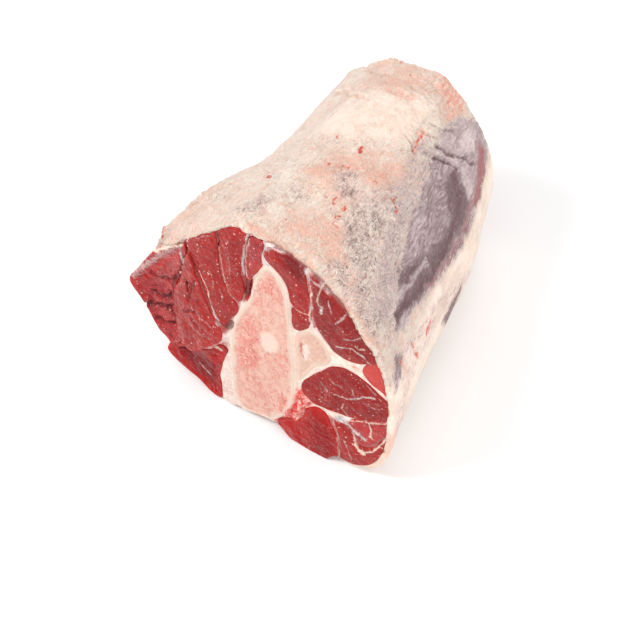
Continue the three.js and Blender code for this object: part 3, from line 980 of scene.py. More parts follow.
@dataclass
class Graph:
    """Short words for building a node tree."""

    tree: bpy.types.NodeTree

    def node(self, kind: str, inputs: dict | None = None, **settings: object) -> bpy.types.Node:
        """Adds a node, sets its properties and feeds its named inputs."""
        made = self.tree.nodes.new(kind)
        for name, value in settings.items():
            setattr(made, name, value)
        for label, value in (inputs or {}).items():
            self.feed(made.inputs[label], value)
        return made

    def made(self, kind: str, output: str | int, inputs: dict, **settings: object) -> Value:
        """Adds a node and gives one of its outputs."""
        return Value(self, self.node(kind, inputs, **settings).outputs[output])

    def feed(self, socket: bpy.types.NodeSocket, value: object) -> None:
        """Links a value into a socket, or sets it."""
        if isinstance(value, Value):
            value = value.socket
        if isinstance(value, bpy.types.NodeSocket):
            self.tree.links.new(value, socket)
        elif isinstance(value, tuple) and len(value) == 3 and len(socket.default_value) == 4:
            socket.default_value = (*value, 1.0)
        else:
            socket.default_value = value

    def place(self) -> Value:
        """Object coordinates."""
        return self.made("ShaderNodeTexCoord", "Object", {})

    def bent(self, scale: float, amount: float) -> Value:
        """Object coordinates pushed some metres about by a soft noise."""
        kind = "ShaderNodeVectorMath"
        push = self.made("ShaderNodeTexNoise", "Color", {"Vector": self.place(), "Scale": scale})
        centred = self.made(kind, 0, {0: push, 1: (0.5, 0.5, 0.5)}, operation="SUBTRACT")
        sized = self.made(kind, 0, {0: centred, "Scale": amount}, operation="SCALE")
        return self.made(kind, 0, {0: self.place(), 1: sized}, operation="ADD")

    def noise(
        self,
        scale: float | Value,
        detail: float = 3.0,
        roughness: float = 0.55,
        distortion: float | Value = 0.0,
        vector: Value | None = None,
    ) -> Value:
        """Noise between 0 and 1.

        Args:
            scale: Features per metre.
            detail: Number of finer layers.
            roughness: Strength of the finer layers.
            distortion: How far it is bent by itself.
            vector: Coordinates, Object by default.

        Returns:
            The noise.
        """
        inputs = {"Vector": vector or self.place(), "Scale": scale, "Detail": detail}
        inputs |= {"Roughness": roughness, "Distortion": distortion}
        return self.made("ShaderNodeTexNoise", "Fac", inputs)

    def drawn(
        self, scales: Place, detail: float, roughness: float, distortion: float, vector: Value | None = None
    ) -> Value:
        """Noise with its own scale along each axis, the rest as in noise."""
        inputs = {"Vector": vector or self.place(), "Scale": scales}
        stretched = self.made("ShaderNodeMapping", "Vector", inputs)
        return self.noise(1.0, detail, roughness, distortion, stretched)

    def cells(self, scale: float, feature: str) -> Value:
        """Distances in a net of random cells."""
        inputs = {"Vector": self.place(), "Scale": scale}
        return self.made("ShaderNodeTexVoronoi", "Distance", inputs, feature=feature)

    def math(self, operation: str, a: object, b: object) -> Value:
        """Arithmetic on two numbers."""
        return self.made("ShaderNodeMath", 0, {0: a, 1: b}, operation=operation)

    def mix(self, amount: Value, a: object, b: object) -> Value:
        """Mixes two colours."""
        return Value(self, self.node("ShaderNodeMix", {0: amount, 6: a, 7: b}, data_type="RGBA").outputs[2])

    def tone(self, tone: Tone) -> Value:
        """The mesh's value of a tone."""
        return self.made("ShaderNodeAttribute", "Fac", {}, attribute_name=tone.value)

    def layered(self, colour: Value, *layers: tuple[Value, object]) -> Value:
        """Lays colours over one another, each by its share."""
        for share, over in layers:
            colour = self.mix(share, colour, over)
        return colour

    def group(self, tree: bpy.types.NodeTree, **values: float) -> dict[str, Value]:
        """Places a node group with its values and gives its outputs."""
        inputs = {name.capitalize(): value for name, value in values.items()}
        made = self.node("ShaderNodeGroup", inputs, node_tree=tree)
        return {socket.name: Value(self, socket) for socket in made.outputs}


class SharedEffects:
    """Node groups that several finishes use."""

    def __init__(self) -> None:
        """Builds the groups once."""
        self.threads = self._group(
            "wandering_threads", {"Scale": 120.0, "Width": 0.02, "Bend": 1.0}, ("Line",), self._threads
        )
        self.moist = self._group(
            "moist_surface", {"Scale": 400.0, "Dry": 0.5, "Wet": 0.2}, ("Roughness", "Height"), self._moist
        )

    @staticmethod
    def _group(
        name: str,
        inputs: dict[str, float],
        outputs: tuple[str, ...],
        fill: Callable[[Graph, dict[str, Value]], tuple[Value, ...]],
    ) -> bpy.types.NodeTree:
        """Builds a group of number sockets.

        Args:
            name: Its name.
            inputs: Names and first values of its inputs.
            outputs: Names of its outputs.
            fill: Builds the inner nodes from the inputs, and gives what the outputs get.

        Returns:
            The group's tree.
        """
        tree = bpy.data.node_groups.new(name, "ShaderNodeTree")
        for label, value in inputs.items():
            socket = tree.interface.new_socket(label, in_out="INPUT", socket_type="NodeSocketFloat")
            socket.default_value = value
        for label in outputs:
            tree.interface.new_socket(label, in_out="OUTPUT", socket_type="NodeSocketFloat")
        graph = Graph(tree)
        into = graph.node("NodeGroupInput")
        made = fill(graph, {label: Value(graph, into.outputs[label]) for label in inputs})
        graph.node("NodeGroupOutput", dict(zip(outputs, made)))
        return tree

    @staticmethod
    def _threads(graph: Graph, into: dict[str, Value]) -> tuple[Value]:
        """Thin wandering lines, as of marbling and torn fibres."""
        wave = graph.noise(into["Scale"], 3.0, 0.5, into["Bend"])
        return ((abs(wave - 0.5) / into["Width"]).between(1.0, 0.3),)

    @staticmethod
    def _moist(graph: Graph, into: dict[str, Value]) -> tuple[Value, Value]:
        """Uneven gloss and fine relief of a moist surface."""
        coarse = graph.noise(into["Scale"], 3.0, 0.5)
        fine = graph.noise(into["Scale"] * 3.6, 2.0, 0.5)
        rough = coarse.between(0.35, 0.65) * (into["Dry"] - into["Wet"]) + into["Wet"]
        return rough, fine * 0.4 + coarse


@dataclass(frozen=True)
class Finish:
    """What every finish has: its name and the values of its shader."""

    name: str
    wet: float = 0.25
    dry: float = 0.45
    relief: float = 0.25
    relief_scale: float = 500.0
    relief_depth: float = 0.0006
    depth_colour: Colour = (1.0, 0.3, 0.2)
    depth_share: float = 0.15
    depth_size: float = 0.003
    coat: float = 0.2
    coat_rough: float = 0.12
    specular: float = 0.5

    def colour(self, graph: Graph, effects: SharedEffects) -> Value:
        """Colour of the surface; each finish has its own."""
        raise NotImplementedError

    def extra_height(self, graph: Graph) -> Value | None:
        """Relief beside the moist surface's own, if any."""
        return None

    def make(self, effects: SharedEffects) -> bpy.types.Material:
        """Builds the material.

        Args:
            effects: Shared node groups.

        Returns:
            The finished material.
        """
        material = bpy.data.materials.new(self.name)
        material.use_nodes = True
        material.node_tree.nodes.clear()
        graph = Graph(material.node_tree)
        moist = graph.group(effects.moist, scale=self.relief_scale, dry=self.dry, wet=self.wet)
        height, more = moist["Height"], self.extra_height(graph)
        if more is not None:
            height = height + more
        inputs = {"Strength": self.relief, "Distance": self.relief_depth, "Height": height}
        bump = graph.made("ShaderNodeBump", "Normal", inputs)
        values = {
            "Base Color": self.colour(graph, effects), "Roughness": moist["Roughness"], "Normal": bump,
            "Subsurface Weight": self.depth_share, "Subsurface Scale": self.depth_size,
            "Subsurface Radius": self.depth_colour, "Coat Weight": self.coat,
            "Coat Roughness": self.coat_rough, "Specular IOR Level": self.specular,
        }
        shader = graph.made("ShaderNodeBsdfPrincipled", "BSDF", values)
        graph.node("ShaderNodeOutputMaterial", {"Surface": shader})
        return material


@dataclass(frozen=True)
class MeatFinish(Finish):
    """Raw muscle: red, with fine grain, pale specks that also stand as painted glints, threads of marbling,
    painted shade in creases and hollows, and a lighter edge that is partly a painted highlight.
    """

    deep: Colour = (0.230, 0.010, 0.009)
    main: Colour = (0.360, 0.015, 0.012)
    light: Colour = (0.435, 0.032, 0.026)
    # lighter red of the cut's edges, partly a painted highlight on raised rims
    bright: Colour = (0.480, 0.020, 0.014)
    marbling: float = 0.4
    flecks_and_glints: float = 0.7
    skin: Colour = (0.38, 0.17, 0.165)
    membrane: Colour = (0.62, 0.46, 0.44)
    border: Colour = (0.50, 0.065, 0.052)
    vein: Colour = (0.60, 0.28, 0.24)
    fleck_and_glint: Colour = (0.90, 0.66, 0.58)
    silver: Colour = (0.74, 0.62, 0.57)
    silver_grey: Colour = (0.36, 0.27, 0.27)
    cream: Colour = (0.80, 0.62, 0.50)
    blood: Colour = (0.24, 0.010, 0.010)
    # painted shade: near black, laid where Tone.DARK marks creases, hollows and the slot beside the bone;
    # some DARK patches only darken a muscle a little
    dark: Colour = (0.050, 0.006, 0.010)

    def colour(self, graph: Graph, effects: SharedEffects) -> Value:
        """Reds, marbling, pale specks that also stand as painted glints, and the tones of the mesh, where
        dark is painted shade in creases and hollows and the rim partly a painted highlight.
        """
        broad = graph.noise(95, 3, 0.6).between(0.35, 0.65)
        close = graph.noise(480, 5, 0.7, 0.4).between(0.3, 0.7)
        grain = graph.noise(1700, 3, 0.7).between(0.35, 0.65)
        border = graph.cells(430, "DISTANCE_TO_EDGE").between(0.09, 0.0) * (close * 0.22)
        line = graph.group(effects.threads, scale=85.0, width=0.01, bend=1.4)["Line"]
        vein = line * graph.noise(70, 2, 0.5).between(0.5, 0.62)
        colour = graph.layered(
            graph.mix(broad, self.deep, self.main),
            (close * 0.6, self.light),
            (grain * 0.5, self.deep),
            (border, self.border),
            (vein * self.marbling, self.vein),
        )
        # pale specks of fat that also stand as painted glints
        for scale, where, low in ((330.0, 260.0, 0.50), (620.0, 170.0, 0.53)):
            spot = graph.cells(scale, "F1").between(0.21, 0.1)
            chosen = graph.noise(where, 1, 0.5).between(low, low + 0.04)
            colour = graph.mix(spot * chosen * self.flecks_and_glints, colour, self.fleck_and_glint)
        streaks = graph.drawn((260, 22, 260), 3, 0.6, 0.3)
        membrane = graph.mix(streaks.between(0.35, 0.65), self.skin, self.membrane)
        silver = graph.mix(graph.noise(700, 3).between(0.42, 0.58), self.silver, self.silver_grey)
        return graph.layered(
            colour,
            # lighter edge, partly a painted highlight on raised rims
            (graph.tone(Tone.RIM) * close.between(0.1, 0.8), self.bright),
            (graph.tone(Tone.SKIN) * streaks.between(0.2, 0.5) * 0.85, membrane),
            # painted shade in creases and hollows
            (graph.tone(Tone.DARK), self.dark),
            (graph.tone(Tone.BLOOD), self.blood),
            (graph.tone(Tone.SILVER), silver),
            (graph.tone(Tone.FATTY), self.cream),
        )

    def extra_height(self, graph: Graph) -> Value:
        """Small bundles of fibres that stand out of the cut."""
        return graph.cells(520, "SMOOTH_F1") * -1.6


@dataclass(frozen=True)
class BoneFinish(Finish):
    """Sawn bone: cream rim round a pink, mottled spongy core."""

    rim: Colour = (0.65, 0.51, 0.425)
    core: Colour = (0.565, 0.245, 0.188)
    pale: Colour = (0.68, 0.41, 0.325)
    red: Colour = (0.60, 0.085, 0.055)
    flush: Colour = (0.66, 0.22, 0.175)
    nick: Colour = (0.47, 0.05, 0.04)
    glint: Colour = (0.84, 0.68, 0.53)
    dust: Colour = (0.76, 0.55, 0.45)
    rim_light: Colour = (0.79, 0.61, 0.50)
    rim_warm: Colour = (0.74, 0.46, 0.36)
    marrow: Colour = (0.79, 0.60, 0.51)
    silver: Colour = (0.78, 0.62, 0.54)
    dark: Colour = (0.45, 0.05, 0.045)
    redness: float = 1.0

    def colour(self, graph: Graph, effects: SharedEffects) -> Value:
        """Rim, mottled core, red pores and the tones of the mesh."""
        core = graph.mix(graph.noise(230, 5, 0.72, 0.6).between(0.36, 0.6), self.core, self.pale)
        blood = graph.tone(Tone.BLOOD)
        flush = (graph.noise(150, 5, 0.72, 0.5) + blood * 0.14).between(0.5, 0.68)
        core = graph.mix(flush * (0.55 * self.redness), core, self.flush)
        for scale, low in ((520.0, 0.49), (950.0, 0.47)):
            pores = graph.drawn((scale, scale, scale * 0.4), 4, 0.65, 0.8) + blood * 0.13
            core = graph.mix(pores.between(low + 0.13, low + 0.2) * (0.62 * self.redness), core, self.red)
        nicks = (graph.drawn((520, 520, 230), 4, 0.7, 1.2) + blood * 0.07).between(0.61, 0.66)
        fine = graph.noise(1300, 3, 0.6).between(0.35, 0.65)
        rim = graph.mix(fine * 0.3, self.rim, self.rim_light)
        warm = graph.noise(120, 3, 0.6).between(0.5, 0.7)
        return graph.layered(
            core,
            (nicks * (0.9 * self.redness), self.nick),
            (graph.noise(560, 4, 0.7, 0.8).between(0.57, 0.66) * 0.6, self.glint),
            (fine * 0.3, self.dust),
            (graph.tone(Tone.RIM), graph.mix(warm, rim, self.rim_warm)),
            (graph.tone(Tone.SKIN), self.rim),
            (graph.tone(Tone.FATTY), self.marrow),
            (graph.tone(Tone.SILVER), self.silver),
            (graph.tone(Tone.DARK), self.dark),
        )


@dataclass(frozen=True)
class SheathFinish(Finish):
    """Silver skin, tendon and seam fat."""

    strand: tuple[Colour, Colour] = ((0.62, 0.46, 0.42), (0.80, 0.66, 0.60))
    side: tuple[Colour, Colour] = ((0.36, 0.16, 0.16), (0.64, 0.47, 0.45))
    raw: tuple[Colour, Colour] = ((0.30, 0.016, 0.014), (0.42, 0.05, 0.042))
    fat: tuple[Colour, Colour] = ((0.72, 0.54, 0.445), (0.84, 0.72, 0.62))
    grey: tuple[Colour, Colour] = ((0.30, 0.28, 0.30), (0.62, 0.57, 0.57))
    bloody: tuple[Colour, Colour] = ((0.58, 0.035, 0.028), (0.82, 0.42, 0.35))
    fine: Colour = (0.52, 0.32, 0.30)
    by_bone: Colour = (0.82, 0.61, 0.49)
    # painted shade in hollows and under the fat cover's edge
    dark: Colour = (0.11, 0.008, 0.010)

    def colour(self, graph: Graph, effects: SharedEffects) -> Value:
        """White and grey strands, cream fat, bloody spots, and painted shade where the dark tone is."""
        broad = graph.noise(240, 4, 0.65, 0.5).between(0.38, 0.62)
        close = graph.noise(900, 3, 0.6).between(0.35, 0.7)
        streaks = graph.drawn((220, 24, 220), 3, 0.6, 0.3).between(0.35, 0.65)
        clots = graph.noise(330, 4, 0.65, 0.6).between(0.46, 0.62)
        return graph.layered(
            graph.mix(broad, *self.strand),
            (close * 0.35, self.fine),
            (graph.tone(Tone.RIM) * 0.8, self.by_bone),
            (graph.tone(Tone.SKIN), graph.mix(streaks, *self.side)),
            (graph.tone(Tone.RAW), graph.mix(close, *self.raw)),
            (graph.tone(Tone.FATTY), graph.mix(broad, *self.fat)),
            (graph.tone(Tone.SILVER), graph.mix(broad, *self.grey)),
            (graph.tone(Tone.BLOOD), graph.mix(clots, *self.bloody)),
            (graph.tone(Tone.DARK), self.dark),
        )


@dataclass(frozen=True)
class FatFinish(Finish):
    """Cream fat with fibres, pink smears, grey mottling and a band of purple-grey silver skin."""

    pale: Colour = (0.96, 0.825, 0.71)
    cream: Colour = (0.94, 0.715, 0.58)
    bright: Colour = (0.98, 0.93, 0.84)
    butter: Colour = (0.96, 0.82, 0.66)
    warm: Colour = (0.86, 0.53, 0.41)
    shade: Colour = (0.68, 0.385, 0.30)
    pink: Colour = (0.90, 0.465, 0.345)
    raw: Colour = (0.98, 0.38, 0.265)
    grey_light: Colour = (0.85, 0.61, 0.565)
    grey_dark: Colour = (0.49, 0.285, 0.272)
    dark_grey: Colour = (0.27, 0.13, 0.127)
    dark_pink: Colour = (0.58, 0.28, 0.21)
    band_light: Colour = (0.58, 0.445, 0.445)
    band_mid: Colour = (0.37, 0.252, 0.262)
    band_dark: Colour = (0.145, 0.062, 0.068)
    sheen: Colour = (0.76, 0.62, 0.60)
    maroon: Colour = (0.40, 0.130, 0.135)
    red: Colour = (0.66, 0.070, 0.045)
    smear: Colour = (0.84, 0.30, 0.20)
    thread: Colour = (0.97, 0.87, 0.77)
    beige: Colour = (0.72, 0.545, 0.46)
    salmon: Colour = (0.99, 0.66, 0.53)
    spot: Colour = (0.60, 0.17, 0.13)

    @staticmethod
    def fibres(graph: Graph) -> tuple[Value, ...]:
        """Two noises drawn out along and across the shank, and the bent coordinates they use."""
        flow = graph.bent(55, 0.007)
        along = graph.drawn((900, 150, 900), 4, 0.62, 0.15, flow)
        across = graph.drawn((420, 420, 420), 5, 0.66, 0.25, flow)
        return along, across, flow

    @staticmethod
    def folds(graph: Graph, flow: Value) -> tuple[Value, ...]:
        """Fine wrinkles: a dark groove with a bright ridge beside it."""
        wave = graph.drawn((250, 140, 250), 3, 0.55, 0.8, flow)
        where = graph.noise(58, 3, 0.6).between(0.46, 0.58)
        groove = abs(wave - 0.5).between(0.03, 0.006) * where
        ridge = abs(wave - 0.545).between(0.028, 0.006) * where
        return groove, ridge

    def colour(self, graph: Graph, effects: SharedEffects) -> Value:
        """Fields of colour from the mesh, broken up by fibres, with painted shade in the fibres' valleys,
        beside the threads and in creases, and painted highlights on fibre crests and fold ridges.
        """
        along, across, flow = self.fibres(graph)
        fibre = along * 0.66 + across * 0.34
        centred = fibre - 0.5
        grain = graph.noise(1500, 4, 0.7, 0.3)
        cloud = graph.noise(75, 4, 0.6, 0.4)
        other = graph.noise(48, 3, 0.6, 0.3)
        mottle = graph.noise(150, 6, 0.75, 0.5)
        smooth, band, grey = (graph.tone(tone) for tone in (Tone.SMOOTH, Tone.BAND, Tone.GREY))
        rough = (1.0 - smooth * 0.7) * band.between(0.8, 0.1)
        warm = other.between(0.4, 0.62) * fibre.between(0.42, 0.55)
        strands = graph.drawn((460, 120, 460), 4, 0.65, 0.4, flow)
        streaks = graph.drawn((130, 16, 130), 4, 0.6, 0.3)
        calm = graph.mix(streaks.between(0.38, 0.62), self.cream, self.beige)
        patchy = (fibre + cloud * 0.6).between(0.62, 0.84)
        raw, dusk, blood = (graph.tone(tone) for tone in (Tone.RAW, Tone.DUSK, Tone.BLOOD))
        greys = grey * (mottle.between(0.4, 0.58) * 0.6 + 0.3)
        crinkled = (grey * 0.7 + 0.3) * rough
        dark_speck_and_shade = graph.mix(grey.between(0.1, 0.6), self.dark_pink, self.dark_grey)
        edge = (band + centred * 3.2).between(0.22, 0.78)
        colour = graph.layered(
            graph.mix(cloud.between(0.35, 0.65), self.pale, self.cream),
            (warm * 0.55, self.warm),
            # painted shade in the fibres' valleys and a painted highlight on their crests
            (fibre.between(0.495, 0.4) * (rough * 0.62), self.shade),
            (fibre.between(0.51, 0.6) * 0.55, self.bright),
            (strands.between(0.535, 0.63) * mottle.between(0.4, 0.6) * 0.85, self.pink),
            (graph.noise(120, 4, 0.65, 0.4).between(0.51, 0.63) * 0.32, self.butter),
            (smooth * 0.7, graph.mix(other.between(0.42, 0.6), calm, self.pale)),
            (graph.tone(Tone.PINK) * patchy, self.pink),
            (
                raw * (raw + centred * 5.0).between(0.15, 0.95),
                graph.mix(strands.between(0.44, 0.54), self.salmon, self.raw),
            ),
            (greys, graph.mix(fibre.between(0.43, 0.555), self.grey_dark, self.grey_light)),
            # dark blotches, and painted shade in the creases of folds
            (dusk * fibre.between(0.6, 0.45) * (1.0 - band) * 0.85, self.dark_grey),
            (grain.between(0.56, 0.7) * crinkled * 0.35, dark_speck_and_shade),
            (along.between(0.43, 0.34) * (grey * 0.5), self.dark_grey),
            (band.between(0.0, 0.45) * fibre.between(0.32, 0.6) * 0.6, self.band_light),
            (edge, self.silver_skin(graph, flow, fibre, dusk)),
        )
        # pale threads, each with a painted shadow line beside it
        for scale, stretch, amount in ((620.0, 190.0, 0.85), (560.0, 440.0, 0.75)):
            wave = graph.drawn((scale, stretch, scale), 3, 0.6, 0.9, flow)
            line = abs(wave - 0.5).between(0.026, 0.008) * amount * crinkled
            under = abs(wave - 0.55).between(0.022, 0.006) * mottle.between(0.42, 0.6) * crinkled
            colour = graph.layered(colour, (line, self.thread), (under * 0.75, dark_speck_and_shade))
        # painted shade in the wrinkles' grooves and a painted highlight on the ridge beside each
        groove, ridge = self.folds(graph, flow)
        blood = (blood + centred * 5.0).between(0.15, 1.1) * blood.between(0.0, 0.6)
        return graph.layered(
            colour,
            (groove * (crinkled * 0.8), dark_speck_and_shade),
            (ridge * (rough * 0.65), self.thread),
            (graph.noise(240, 3, 0.6).between(0.66, 0.71) * 0.7 * rough, self.spot),
            (blood * 1.4, graph.mix(blood.between(0.3, 0.85), self.smear, self.red)),
        )

    def silver_skin(self, graph: Graph, flow: Value, fibre: Value, dusk: Value) -> Value:
        """Colour of the purple-grey band, dark where dusk is, with a sheen along its hairs."""
        film = graph.drawn((140, 30, 140), 4, 0.62, 0.4, flow)
        hair = graph.drawn((800, 55, 800), 4, 0.6, 0.2, flow)
        return graph.layered(
            graph.mix(film.between(0.35, 0.65), self.band_mid, self.band_light),
            (dusk, self.band_dark),
            (hair.between(0.49, 0.38) * 0.5, self.band_dark),
            (hair.between(0.53, 0.66) * 0.65 * dusk.between(1.0, 0.2), self.sheen),
            (graph.tone(Tone.MAROON), self.maroon),
            (graph.tone(Tone.SHEEN) * fibre.between(0.38, 0.52), self.sheen),
        )

    def extra_height(self, graph: Graph) -> Value:
        """Fibres that run along the shank, fainter on the smooth skin."""
        along, across, flow = self.fibres(graph)
        groove, ridge = self.folds(graph, flow)
        calm = graph.math("MAXIMUM", graph.tone(Tone.SMOOTH), graph.tone(Tone.BAND) * 0.7)
        rough = 1.0 - calm * 0.75
        fine = (along + across) * 3.5
        fold = ridge * 0.5 - groove * 0.6
        return (fine + fold) * rough


@dataclass(frozen=True)
class ThreadFinish(Finish):
    """Pale torn fibres."""

    main: Colour = (0.92, 0.79, 0.69)
    shade: Colour = (0.82, 0.61, 0.52)

    def colour(self, graph: Graph, effects: SharedEffects) -> Value:
        """Nearly white, uneven along each fibre."""
        return graph.mix(graph.noise(300, 2).between(0.35, 0.65), self.main, self.shade)


@dataclass(frozen=True)
class FloorFinish:
    """Plain pale floor."""

    colour: Colour = (0.93, 0.93, 0.93)
    darker: float = 0.99
    roughness: float = 0.9

    def make(self) -> bpy.types.Material:
        """Builds the floor's matte material with a faint grain."""
        material = bpy.data.materials.new("pale_floor")
        material.use_nodes = True
        graph = Graph(material.node_tree)
        shader = material.node_tree.nodes["Principled BSDF"]
        grain = graph.mix(graph.noise(40, 2), self.colour, tuple(c * self.darker for c in self.colour))
        graph.feed(shader.inputs["Base Color"], grain)
        shader.inputs["Roughness"].default_value = self.roughness
        return material


# What the shank is made of

# marks are rows of path, width, depth and strength, patches of path, edge, strength and depth

